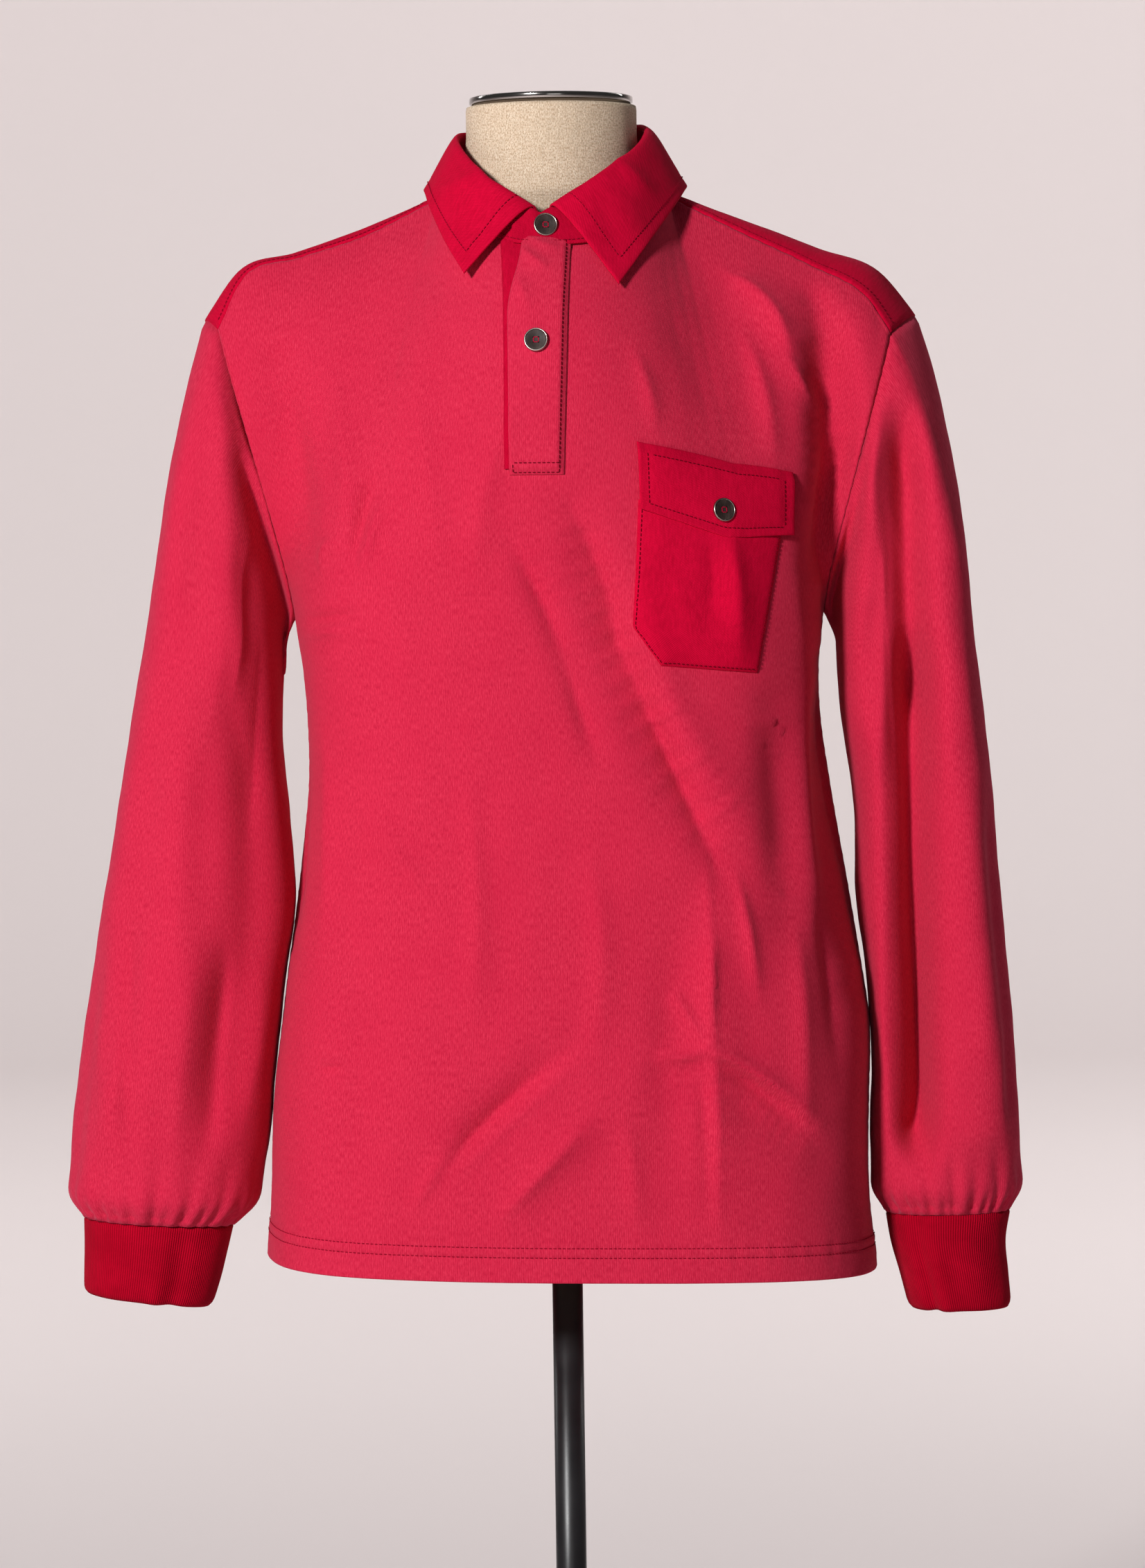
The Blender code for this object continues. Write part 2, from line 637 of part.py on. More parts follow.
def part_panel(outer):
    outer[:, 0] = parted(outer[:, 0], outer[:, 1])
    outer[:, -1] = parted(outer[:, -1], outer[:, -2])
    outer[-1] = parted(outer[-1], outer[-2])


def make_front(collection):
    s, v = np.meshgrid(shoulder_columns(), panel_rows(FRONT_STEPS))
    outer = panel(FRONT, s, v)
    normals = panel_normals(FRONT, s, v)
    at_yoke = np.abs(s[-1]) >= NECK_SHARE
    normals[-1][at_yoke] = front_seam_normals(s[-1])[at_yoke]
    part_panel(outer)
    return wall("front", outer, JERSEY, jersey(), collection, normals=normals)


def make_back(collection):
    s, v = np.meshgrid(shoulder_columns()[::-1], panel_rows(BACK_STEPS))
    outer = panel(BACK, s, v)
    normals = panel_normals(BACK, s, v)
    normals[-1] = back_seam_normals(s[-1])
    part_panel(outer)
    return wall("back", outer, JERSEY, jersey(), collection, normals=normals)


def make_yoke(collection):
    s, t = np.meshgrid(shoulder_columns(), np.linspace(0, 1, YOKE_STEPS + 1))
    outer = yoke(s, t)
    normals = yoke_normals(s, t)
    at_front = np.abs(s[0]) >= NECK_SHARE
    normals[0][at_front] = front_seam_normals(s[0])[at_front]
    normals[-1] = back_seam_normals(s[-1])
    outer[0] = parted(outer[0], outer[1])
    part_panel(outer)
    return wall("yoke", outer, TWILL, twill(), collection, normals=normals)


def armhole(sign):
    """Points and panel normals round an armhole: top of the shoulder, front, armpit, back."""
    yoke_t = np.linspace(0, 1, YOKE_STEPS + 1)
    end = np.full(yoke_t.shape, sign)
    over = yoke(end, yoke_t)
    over_normals = yoke_normals(end, yoke_t)
    front_w = np.linspace(1, 0, FRONT_STEPS + 1)[:-1]
    back_w = np.linspace(0, 1, BACK_STEPS + 1)[:-1]
    front_s = np.full(front_w.shape, sign)
    back_s = np.full(back_w.shape, sign)
    front = upper_panel(FRONT, front_s, front_w)
    back = upper_panel(BACK, back_s, back_w)
    front_normals = panel_normals(FRONT, front_s, 1 + front_w)
    back_normals = panel_normals(BACK, back_s, 1 + back_w)
    front_normals[0] = front_seam_normals(front_s[:1])
    over_normals[-1] = back_seam_normals(end[:1])
    top = int(YOKE_TOP_SHARE * YOKE_STEPS + 0.5)
    points = np.concatenate([over[top:0:-1], front, back, over[:top:-1]])
    normals = np.concatenate([over_normals[top:0:-1], front_normals, back_normals, over_normals[:top:-1]])
    return points, normals


def armhole_turns():
    """Angle round the sleeve of each armhole point: 0 outside, 90 in front, 180 inside, 270 behind."""
    top = int(YOKE_TOP_SHARE * YOKE_STEPS + 0.5)
    over_front = np.linspace(0, YOKE_TURN_FRONT, top + 1)[:-1]
    front = np.linspace(YOKE_TURN_FRONT, 180, FRONT_STEPS + 1)[:-1]
    back = np.linspace(180, YOKE_TURN_BACK, BACK_STEPS + 1)[:-1]
    over_back = np.linspace(YOKE_TURN_BACK, 360, YOKE_STEPS - top + 1)[:-1]
    return np.radians(np.concatenate([over_front, front, back, over_back]))


def sleeve_ring(table, sign, turns, z):
    inner, outer, front, back = np.moveaxis(read_table(table, z), -1, 0)
    x = (outer + inner) / 2 + (outer - inner) / 2 * np.cos(turns) * (1 + SLEEVE_SQUARENESS * np.sin(turns) ** 2)
    depth = np.where(np.sin(turns) > 0, -front, back)
    y = -depth * np.sin(turns) * (1 + SLEEVE_SQUARENESS * np.cos(turns) ** 2)
    return joined(sign * x, y, z)


def sleeve_fold(folds, turns, z):
    """Long folds down a sleeve, by angle round it."""
    total = np.zeros(turns.shape)
    for angle, width, depth, top, bottom in folds:
        away = (np.degrees(turns) - angle + 180) % 360 - 180
        fade = ease(top - z, 0.0, 0.08) * ease(z - bottom, 0.0, 0.05)
        total += depth * fade * np.exp(-((away / width) ** 2))
    return total


def sleeve(sign):
    """Outer points and normals of a sleeve from the armhole down to the cuff seam."""
    table = SLEEVE_RIGHT if sign > 0 else SLEEVE_LEFT
    folds = SLEEVE_FOLDS_RIGHT if sign > 0 else SLEEVE_FOLDS_LEFT
    cuff = CUFF_RIGHT if sign > 0 else CUFF_LEFT
    slope_top, slope_end = CAP_SLOPES[sign]
    turns = armhole_turns()
    hole, hole_normals = armhole(sign)
    ring = sleeve_ring(table, sign, turns, np.full(turns.shape, CAP_END_Z))
    length = np.linalg.norm(ring - hole, axis=-1, keepdims=True)
    above = np.maximum(np.cos(turns), 0)[:, None]
    beside = np.abs(np.sin(turns))[:, None]
    below = np.maximum(-np.cos(turns), 0)[:, None]
    forward = -np.sign(np.sin(turns))
    out = np.full(turns.shape, sign)
    leave = (
        above * joined(slope_top * out, 0, CAP_TOP_FALL)
        + beside * joined(CAP_BESIDE[0] * out, CAP_BESIDE[1] * forward, CAP_BESIDE[2])
        + below * joined(CAP_BELOW[0] * out, CAP_BELOW[1], CAP_BELOW[2])
    ) * length
    arrive = joined(above[:, 0] * slope_end * out, 0, -1.0) * length
    t = np.linspace(0, 1, CAP_STEPS + 1)[:, None, None]
    cap = hermite(hole, ring, leave, arrive, t)
    seam_z = cuff[-1][0]
    z = np.linspace(CAP_END_Z, seam_z, SLEEVE_STEPS + 1)[1:]
    around, down = np.meshgrid(turns, z)
    lower = sleeve_ring(table, sign, around, down)
    slant = cuff[-1][5] * (1 - np.cos(around)) / 2 * ease(seam_z + SLANT_HEIGHT - down, 0, SLANT_HEIGHT)
    lower[..., 2] -= slant
    outer = np.concatenate([cap, lower])
    normals = sign * grid_normals(outer, True)
    around = np.broadcast_to(turns, outer.shape[:2])
    height = outer[..., 2]
    below_hole = ease(hole[:, 2] - height, 0.01, 0.06)
    gathered = ease(seam_z + GATHER_HEIGHT - height, 0, GATHER_HEIGHT) * ease(height - seam_z, 0, 0.012)
    gathers = GATHER_DEPTH * np.where(np.arange(len(turns)) % 2, -1, 1)
    shift = sleeve_fold(folds, around, height) * below_hole + gathers * gathered
    outer = outer + normals * shift[..., None]
    share = ease(np.cos(turns), -0.2, 0.5)[:, None]
    away = unit(outer[1] - outer[0]) * SEAM_GAP + hole_normals * (1 - share) * SEAM_GAP_TURNED
    outer[0] = outer[0] + away
    normals = sign * grid_normals(outer, True)
    normals[0] = unit(normals[0] * (1 - share) + hole_normals * share)
    return outer, normals


def make_sleeve(name, sign, collection):
    outer, normals = sleeve(sign)
    if sign < 0:
        outer = outer[:, ::-1]
        normals = normals[:, ::-1]
    return wall(name, outer, JERSEY, jersey(), collection, closed=True, normals=normals)


def make_cuff(name, sign, collection):
    """Rib tube that starts just under the sleeve and stands on a slant."""
    table = np.array(CUFF_RIGHT if sign > 0 else CUFF_LEFT)
    turns = armhole_turns()
    z = np.linspace(table[-1, 0] - SEAM_GAP, table[0, 0], 5)
    around, down = np.meshgrid(turns, z)
    outer = sleeve_ring(table[:, :5], sign, around, down)
    drop = read_table(table[:, [0, 5]], down)[..., 0]
    outer[..., 2] -= drop * (1 - np.cos(around)) / 2
    if sign < 0:
        outer = outer[:, ::-1]
    return wall(name, outer, RIB, rib(), collection, closed=True)


def roll_line(turn):
    """Fold of the collar, by the angle from the front middle, negative to the left."""
    across = np.sin(np.radians(turn))
    ahead = np.cos(np.radians(turn))
    x = ROLL_HALF_WIDTH * across - ROLL_FRONT_SHIFT * np.maximum(ahead, 0) ** 3
    y = ROLL_CENTRE_Y - ROLL_REACH * ahead
    rise = np.where(ahead > 0, ROLL_SIDE_RISE * np.abs(across) ** 1.1, ROLL_SIDE_RISE)
    back_rise = np.where(ahead < 0, ROLL_BACK_RISE * (1 - np.abs(across)), 0)
    return joined(x, y, ROLL_FRONT_Z + rise + back_rise + ROLL_TILT * across)


def neck_at(turn):
    """Neckline by the angle from the front middle, negative to the left."""
    across = np.sin(np.radians(turn))
    ahead = np.cos(np.radians(turn))
    reach = np.where(ahead > 0, NECK_FRONT_REACH, NECK_BACK_REACH)
    rise = np.where(ahead > 0, -NECK_FRONT_DROP * ahead, -NECK_BACK_RISE * ahead)
    return joined(NECK_HALF_WIDTH * across, NECK_CENTRE_Y - reach * ahead, NECK_SIDE_Z + rise)


def stand_surface(turn, w):
    """Collar stand from just above the neckline (w 0) to the fold (w 1)."""
    foot = neck_at(turn)
    ahead = np.cos(np.radians(turn))
    top = roll_line(turn) - joined(0 * turn, 0, STAND_FRONT_DROP * ease(ahead, 0.5, 0.95))
    up = unit(top - foot)
    foot = foot + up * 2 * SEAM_GAP
    return foot + (top - foot) * np.asarray(w)[..., None]


def make_stand(collection):
    """Band that starts under the left front, goes round the back and laps over in front."""
    step = 180.0 / NECK_STEPS
    inner = np.arange(step, 360.0, step)
    turn = np.concatenate([[STAND_LAP_START], inner, [360.0, 360.0 + STAND_LAP_END / 2, 360.0 + STAND_LAP_END]])
    turns, w = np.meshgrid(-turn, np.linspace(0, 1, 4))
    outer = stand_surface(turns, w)
    out = unit(outer - joined(0, ROLL_CENTRE_Y, outer[..., 2]))
    lift = STAND_LAP_LIFT * ease(-turns, 322.0, 346.0)
    outer = outer + out * lift[..., None]
    return wall("collar_stand", outer[:, ::-1], TWILL, twill(), collection)


def leaf_edge(turn):
    left = read_table(LEAF_EDGE_LEFT, np.abs(turn))
    right = read_table(LEAF_EDGE_RIGHT, np.abs(turn))
    return np.where((turn > 0)[..., None], right, left)


def leaf_surface(turn, w):
    """Collar leaf from the fold (w 0) out and down to its edge (w 1)."""
    fold = roll_line(turn)
    fold = fold + joined(0 * turn, 0, LEAF_LIFT)
    edge = leaf_edge(turn)
    out = unit(joined(fold[..., 0], fold[..., 1] - ROLL_CENTRE_Y, 0 * turn))
    fall = edge - fold
    length = np.linalg.norm(fall, axis=-1, keepdims=True)
    swing = LEAF_SWING + (LEAF_SWING_LEFT - LEAF_SWING) * ease(-turn, 30.0, 75.0)
    leave = unit(out + joined(0 * turn, 0, 0.25)) * length * swing[..., None]
    return hermite(fold, edge, leave, fall * 1.15, np.asarray(w)[..., None])


def make_leaf(collection):
    half = np.concatenate([[LEAF_START, 20.0], np.linspace(34.0, 180.0, 11)])
    turn = np.concatenate([-half, half[-2::-1]])
    turns, w = np.meshgrid(turn, np.array([0, 0.12, 0.3, 0.55, 0.8, 1.0]))
    outer = leaf_surface(turns, w)
    return wall("collar_leaf", outer, TWILL, twill(), collection)


def lying_patch(name, x, z, lift, thickness, finish, collection):
    """Patch of cloth on the front: its grid is seen from the front at x and z, rows going down."""
    points, normals = front_at(x, z)
    outer = points + normals * (lift + thickness)
    return wall(name, outer, thickness, finish, collection, normals=normals)


def strip(left_x, right_x, rows_z, columns):
    """Grid of a strip with its own left and right edge at each height, its top along the neckline."""
    share = np.linspace(0, 1, columns)
    x = left_x[:, None] * (1 - share) + right_x[:, None] * share
    neck_z = NECK_SIDE_Z - NECK_FRONT_DROP * np.sqrt(1 - (x / NECK_HALF_WIDTH) ** 2) - PLACKET_NECK_GAP
    up = (rows_z[:, None] - rows_z[0]) / (rows_z[-1] - rows_z[0])
    return x, rows_z[0] + (neck_z - rows_z[0]) * up


def placket_edges(z):
    """Left and right edge of the upper placket strip."""
    left = PLACKET_LEFT_X + PLACKET_CURVE * ease(z, PLACKET_CURVE_Z, PLACKET_TOP_Z)
    share = (z - PLACKET_BOTTOM_Z) / (PLACKET_TOP_Z - PLACKET_BOTTOM_Z)
    right = PLACKET_RIGHT_BOTTOM_X + (PLACKET_RIGHT_TOP_X - PLACKET_RIGHT_BOTTOM_X) * share
    return left, right


def make_placket(collection):
    rows = np.linspace(PLACKET_BOTTOM_Z + 0.004, PLACKET_TOP_Z, 11)
    x, z = strip(np.full(rows.shape, UNDER_LEFT_X), np.full(rows.shape, UNDER_RIGHT_X), rows, 3)
    lying_patch("placket_under", x, z, LIE_GAP, UNDER_THICKNESS, twill(), collection)
    rows = np.linspace(PLACKET_BOTTOM_Z, PLACKET_TOP_Z, 12)
    left, right = placket_edges(rows)
    x, z = strip(left, right, rows, 5)
    lift = LIE_GAP + UNDER_THICKNESS + LIE_GAP
    lying_patch("placket_top", x, z, lift, TWILL, jersey(), collection)


def four_sided(corners, columns, rows):
    """Grid between four corners: upper left, upper right, lower right, lower left."""
    across, down = np.meshgrid(np.linspace(0, 1, columns), np.linspace(1, 0, rows))
    corners = np.array(corners)
    top = corners[0] * (1 - across)[..., None] + corners[1] * across[..., None]
    bottom = corners[3] * (1 - across)[..., None] + corners[2] * across[..., None]
    return top * (1 - down)[..., None] + bottom * down[..., None], across, down


def make_pocket(collection):
    grid, across, down = four_sided(POCKET_CORNERS, 8, 9)
    bend = np.array(POCKET_LEFT_BEND)
    corners = np.array(POCKET_CORNERS)
    level = (corners[0][1] - bend[1]) / (corners[0][1] - corners[3][1])
    straight = corners[0] * (1 - level) + corners[3] * level
    share = np.where(down < level, down / level, (1 - down) / (1 - level))
    grid = grid + ((bend - straight) * (1 - across)[..., None] * share[..., None])
    lying_patch("pocket", grid[..., 0], grid[..., 1], LIE_GAP, TWILL, twill(), collection)


def make_flap(collection):
    grid, across, down = four_sided(FLAP_CORNERS, 9, 5)
    corners = np.array(FLAP_CORNERS)
    point = np.array(FLAP_POINT)
    level = (point[0] - corners[3][0]) / (corners[2][0] - corners[3][0])
    straight = corners[3] * (1 - level) + corners[2] * level
    share = np.where(across < level, across / level, (1 - across) / (1 - level))
    grid = grid + (point - straight) * (share * down)[..., None]
    lying_patch("pocket_flap", grid[..., 0], grid[..., 1], FLAP_LIFT, TWILL, twill(), collection)


def turned(name, profile, finish, collection):
    """Body of revolution about Z from a profile that runs down its outer side."""
    mesh = bpy.data.meshes.new(name)
    edges = [(i, i + 1) for i in range(len(profile) - 1)]
    mesh.from_pydata([(r, 0, z) for r, z in profile], edges, [])
    mesh.materials.append(finish)
    thing = bpy.data.objects.new(name, mesh)
    collection.objects.link(thing)
    screw = thing.modifiers.new("turn", "SCREW")
    screw.steps = ROUND_STEPS
    screw.render_steps = ROUND_STEPS
    screw.use_merge_vertices = True
    screw.merge_threshold = 0.00001
    screw.use_smooth_shade = False
    return thing


def make_button(name, place, facing, collection):
    """Flat round button with a raised rim, its back on the cloth."""
    top = BUTTON_THICKNESS
    profile = [
        (0, top - BUTTON_RIM),
        (BUTTON_RADIUS * 0.72, top - BUTTON_RIM),
        (BUTTON_RADIUS * 0.80, top),
        (BUTTON_RADIUS * 0.94, top),
        (BUTTON_RADIUS, top - 0.0008),
        (BUTTON_RADIUS, 0.0006),
        (BUTTON_RADIUS * 0.92, 0),
        (0, 0),
    ]
    thing = turned(name, profile, button_face(), collection)
    thing.location = place
    thing.rotation_mode = "QUATERNION"
    thing.rotation_quaternion = mathutils.Vector(facing).to_track_quat("Z", "Y")
    return thing


def make_buttons(collection):
    spot, facing = front_at(np.array(BUTTON_PLACKET[0]), np.array(BUTTON_PLACKET[1]))
    lift = 2 * LIE_GAP + UNDER_THICKNESS + TWILL + BUTTON_LIFT
    make_button("button_placket", spot + facing * lift, facing, collection)
    spot, facing = front_at(np.array(BUTTON_POCKET[0]), np.array(BUTTON_POCKET[1]))
    make_button("button_pocket", spot + facing * (FLAP_LIFT + TWILL + BUTTON_LIFT), facing, collection)
    turn = np.array(BUTTON_STAND_TURN)
    here = stand_surface(turn, np.array(0.48))
    up = roll_line(turn) - neck_at(turn)
    along = roll_line(turn + 1) - roll_line(turn - 1)
    facing = unit(np.cross(along, up))
    lift = STAND_LAP_LIFT + BUTTON_LIFT
    make_button("button_stand", here + facing * lift, facing, collection)


def make_form(collection):
    """Linen covered torso with its neck, closed at both ends."""
    table = np.array(FORM_SECTIONS)
    turns = np.linspace(0, 2 * pi, FORM_TURNS, endpoint=False)
    rings = []
    for z, centre, half, front, back, square in table:
        across = half * np.cos(turns) * (1 + square * np.sin(turns) ** 2)
        depth = np.where(np.sin(turns) > 0, back, -front)
        y = depth * np.sin(turns) * (1 + square * np.cos(turns) ** 2)
        rings.append(joined(centre + across, y, z + 0 * turns))
    return solid_loft("form_torso", np.array(rings), linen(), collection)


def make_stand_parts(collection):
    cap_low = NECK_TOP_Z + SEAM_GAP
    turned(
        "neck_cap",
        [
            (0, CAP_TOP_Z),
            (CAP_RADIUS - 0.0015, CAP_TOP_Z),
            (CAP_RADIUS, CAP_TOP_Z - 0.0015),
            (CAP_RADIUS, cap_low + 0.001),
            (CAP_RADIUS - 0.001, cap_low),
            (0, cap_low),
        ],
        bright_metal(),
        collection,
    )
    flange_top = FORM_BOTTOM_Z - SEAM_GAP
    turned(
        "pole_collar",
        [
            (0, flange_top),
            (FLANGE_RADIUS, flange_top),
            (FLANGE_RADIUS, flange_top - 0.006),
            (POLE_RADIUS + 0.005, flange_top - 0.010),
            (POLE_RADIUS + 0.005, flange_top - FLANGE_HEIGHT),
            (0, flange_top - FLANGE_HEIGHT),
        ],
        black_steel(),
        collection,
    )
    pole_top = flange_top - FLANGE_HEIGHT - SEAM_GAP
    pole_low = HUB_TOP_Z + SEAM_GAP
    turned(
        "pole",
        [(0, pole_top), (POLE_RADIUS, pole_top), (POLE_RADIUS, pole_low), (0, pole_low)],
        black_steel(),
        collection,
    )
    turned(
        "base",
        [
            (0, HUB_TOP_Z),
            (HUB_RADIUS - 0.003, HUB_TOP_Z),
            (HUB_RADIUS, HUB_TOP_Z - 0.003),
            (HUB_RADIUS, FOOT_THICKNESS + 0.002),
            (HUB_RADIUS + 0.002, FOOT_THICKNESS),
            (FOOT_RADIUS - 0.003, FOOT_THICKNESS),
            (FOOT_RADIUS, FOOT_THICKNESS - 0.003),
            (FOOT_RADIUS, 0),
            (0, 0),
        ],
        black_steel(),
        collection,
    )


def build():
    clear_scene()
    collection = bpy.data.collections.new("polo_shirt_on_form")
    bpy.context.scene.collection.children.link(collection)
    make_front(collection)
    make_back(collection)
    make_yoke(collection)
    for name, sign in (("left", -1.0), ("right", 1.0)):
        make_sleeve("sleeve_" + name, sign, collection)
        make_cuff("cuff_" + name, sign, collection)
    make_stand(collection)
    make_leaf(collection)
    make_placket(collection)
    make_pocket(collection)
    make_flap(collection)
    make_buttons(collection)
    make_form(collection)
    make_stand_parts(collection)


build()
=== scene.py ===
"""Looks of the long-sleeved polo shirt on its dress form: cloth shells, stitches, buttons and stand.

Metres, +Z up, the front of the shirt faces -Y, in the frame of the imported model. The shells repeat
the sections of the solids at finer steps and add the smaller creases. Left and right are the viewer's.
"""

from math import atan, cos, pi, radians, sin

import bpy
import mathutils
import numpy as np
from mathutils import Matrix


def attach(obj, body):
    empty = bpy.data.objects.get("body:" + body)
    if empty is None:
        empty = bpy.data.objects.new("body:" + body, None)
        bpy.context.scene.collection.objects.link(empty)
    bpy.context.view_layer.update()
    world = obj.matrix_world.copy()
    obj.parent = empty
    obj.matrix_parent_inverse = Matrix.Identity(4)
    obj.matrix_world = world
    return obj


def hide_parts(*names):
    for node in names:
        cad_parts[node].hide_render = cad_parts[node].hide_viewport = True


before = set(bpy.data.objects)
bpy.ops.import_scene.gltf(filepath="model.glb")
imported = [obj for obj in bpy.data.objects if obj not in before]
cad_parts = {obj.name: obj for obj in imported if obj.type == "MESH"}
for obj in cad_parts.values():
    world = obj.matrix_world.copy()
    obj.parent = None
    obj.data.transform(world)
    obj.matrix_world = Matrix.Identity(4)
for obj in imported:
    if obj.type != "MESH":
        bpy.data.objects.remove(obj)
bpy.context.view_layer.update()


def metres(rows, plain=()):
    """Table written in millimetres, apart from the columns named in plain."""
    return [tuple(v if k in plain else v / 1000 for k, v in enumerate(row)) for row in rows]


# Camera: its distance and height, the middle of the picture, and the picture's own size and scale
CAMERA_DISTANCE = 3.6
CAMERA_HEIGHT = 1.139
PICTURE_MIDDLE = (0.0082, 0.0, 0.977)
PICTURE_HEIGHT = 2263
METRES_PER_PIXEL = 0.000475
CAMERA_ROLL = -0.8

# Cloth
JERSEY = 0.0018
TWILL = 0.0015
RIB = 0.0022
SEAM_GAP = 0.0003
SEAM_TUCK_UP = 0.0008
SEAM_TUCK_UNDER = 0.0011

# Shirt levels
HEM_Z = 0.650
HEM_SLANT = 0.008
ARMPIT_Z = 1.095
CAP_END_Z = 1.070

# Neckline: an oval that dips at the front
NECK_HALF_WIDTH = 0.080
NECK_CENTRE_Y = -0.012
NECK_FRONT_REACH = 0.076
NECK_BACK_REACH = 0.082
NECK_SIDE_Z = 1.3765
NECK_FRONT_DROP = 0.031
NECK_BACK_RISE = 0.0175

# Share of the panel's width, from its middle, that belongs to the neckline
NECK_SHARE = 0.42

# Body sections: height, reach to the left and right side seam, front and back depth
BODY_SECTIONS = metres([
    # z, left, right, front, back
    (650, 206, 212.5, -126, 116),
    (700, 202.5, 208, -126.5, 113),
    (760, 200, 209, -127, 110),
    (811, 194, 210, -127, 107),
    (860, 187.5, 203.5, -126.5, 104),
    (905, 181, 196.5, -126, 101),
    (944, 176, 190, -126, 100),
    (982, 172.5, 184, -126, 100),
    (1020, 172.5, 179, -126.5, 101),
    (1058, 175, 178, -127, 104),
    (1095, 180, 182, -128, 108),
])
BODY_SQUARENESS = 0.24

# Shoulder sections from the neck out: front yoke seam, top of the shoulder, back yoke seam
SHOULDER_RIGHT = metres([
    # u, then x, y, z of the front seam, the top and the back seam
    (0, 80, -12, 1376.5, 96, 22, 1370, 85, 98, 1290),
    (0.3, 130, -26, 1350, 135, 6, 1357.7, 127, 95, 1285),
    (0.6, 173, -34, 1328.5, 180, 4, 1341, 166, 88, 1279),
    (0.85, 211, -43, 1306, 224, 2, 1323.5, 201, 75, 1272),
    (1, 227, -48, 1281, 247, 0, 1295, 220, 60, 1262),
], (0,))
SHOULDER_LEFT = metres([
    (0, -80, -12, 1376.5, -96, 22, 1368, -85, 98, 1290),
    (0.3, -128, -14, 1353, -133, 12, 1355, -127, 95, 1285),
    (0.6, -172, -15, 1339, -177, 12, 1340, -166, 88, 1279),
    (0.85, -211, -19, 1325, -218, 10, 1327, -201, 75, 1272),
    (1, -228, -28, 1290, -239, 0, 1298, -218, 60, 1262),
], (0,))
# Where over the shoulder, from front seam to back seam, the yoke passes its top points
YOKE_TOP_SHARE = 0.36
# Top of the yoke beside and behind the neck: reach to the side, depth beside, further depth and drop behind
YOKE_NECK_X = 0.096
YOKE_NECK_Y = 0.022
YOKE_NECK_BACK = 0.064
YOKE_NECK_Z = 1.369
YOKE_NECK_DROP = 0.010
BACK_SEAM_BOW = 0.006
# Tangents of the upper front and back: middle of the panel, then what its side edge adds
PANEL_TANGENTS = {
    # side: leave y, z, edge y, edge z, arrive y, z, edge y, edge z
    -1.0: (0.0, 0.260, -0.170, -0.100, 0.180, 0.190, -0.110, -0.060),
    1.0: (0.0, 0.190, 0.120, -0.030, -0.015, 0.180, -0.035, -0.060),
}
EDGE_LEAVE_X = 0.020
EDGE_ARRIVE_X = 0.030

# Sleeve sections: height, reach of the inner and outer side, front and back depth
SLEEVE_RIGHT = metres([
    # z, inner, outer, front, back
    (682, 219, 305.5, -40, 33),
    (700, 211.5, 311.8, -48, 41),
    (730, 210, 311, -53, 45),
    (780, 211.4, 309, -56, 46),
    (840, 208.4, 304.5, -58, 46),
    (900, 201.8, 299.8, -60, 48),
    (960, 201, 295, -62, 50),
    (1020, 193, 289, -64, 56),
    (1070, 190, 283.5, -63, 59),
])
SLEEVE_LEFT = metres([
    (682, 230, 331, -42, 33),
    (700, 214, 339.5, -52, 41),
    (730, 205.5, 340, -58, 45),
    (780, 199, 334.5, -60, 46),
    (840, 191.5, 324.8, -62, 46),
    (900, 183.2, 315, -63, 48),
    (960, 186, 303.8, -64, 50),
    (1020, 190, 293.5, -64, 56),
    (1070, 188, 285, -63, 59),
])
SLEEVE_SQUARENESS = 0.10

# Cuff sections, with the drop of the inner side below the outer one
CUFF_RIGHT = metres([
    # z, inner, outer, front, back, inner drop
    (614, 235, 305.5, -33, 29, 1),
    (638, 229, 303.5, -35, 30, 1),
    (660, 223, 302, -37, 31, 1),
    (681.5, 219.5, 305.5, -40, 33, 1),
])
CUFF_LEFT = metres([
    (632.5, 245, 333, -33, 29, 12),
    (647, 239, 332.6, -36, 30, 8),
    (665, 234, 332, -39, 31, 7),
    (685, 229, 332, -42, 33, 7),
])

# Folds: an arc through three points on the panel, half its width, and its depth (inwards is negative)
FRONT_FOLDS = metres([
    # x, z three times, width, depth
    (14, 1170, 42, 1060, 110, 930, 17, -7.5),
    (50, 1120, 75, 1030, 128, 950, 16, 5),
    (-26, 1145, 8, 1070, 28, 1010, 15, -4),
    (104, 900, 104, 800, 108, 690, 15, 4.5),
    (78, 900, 72, 800, 70, 700, 16, -4),
    (70, 790, 120, 770, 172, 730, 14, -5),
    (-80, 725, -45, 765, 5, 815, 16, -4.5),
    (-45, 690, -15, 725, 25, 765, 15, 3.5),
    (-142, 880, -140, 800, -145, 720, 17, -4),
    (-128, 1125, -122, 1160, -112, 1190, 14, -4),
    (168, 1285, 178, 1235, 180, 1150, 13, -11),
    (115, 1325, 155, 1290, 160, 1230, 15, 5),
    (146, 1030, 152, 970, 152, 890, 16, -9),
    (-188, 1270, -178, 1200, -172, 1130, 13, -8),
])
BACK_FOLDS = metres([
    (-120, 1240, -110, 1120, -60, 960, 18, -6),
    (110, 1230, 95, 1120, 50, 980, 18, -7),
    (-30, 1050, -25, 900, -35, 740, 18, -5),
    (60, 950, 75, 850, 70, 720, 18, 5),
    (-130, 950, -125, 850, -130, 720, 18, 4.5),
    (150, 1060, 150, 950, 145, 840, 16, -8),
    (-150, 1060, -148, 950, -150, 840, 16, -8),
])
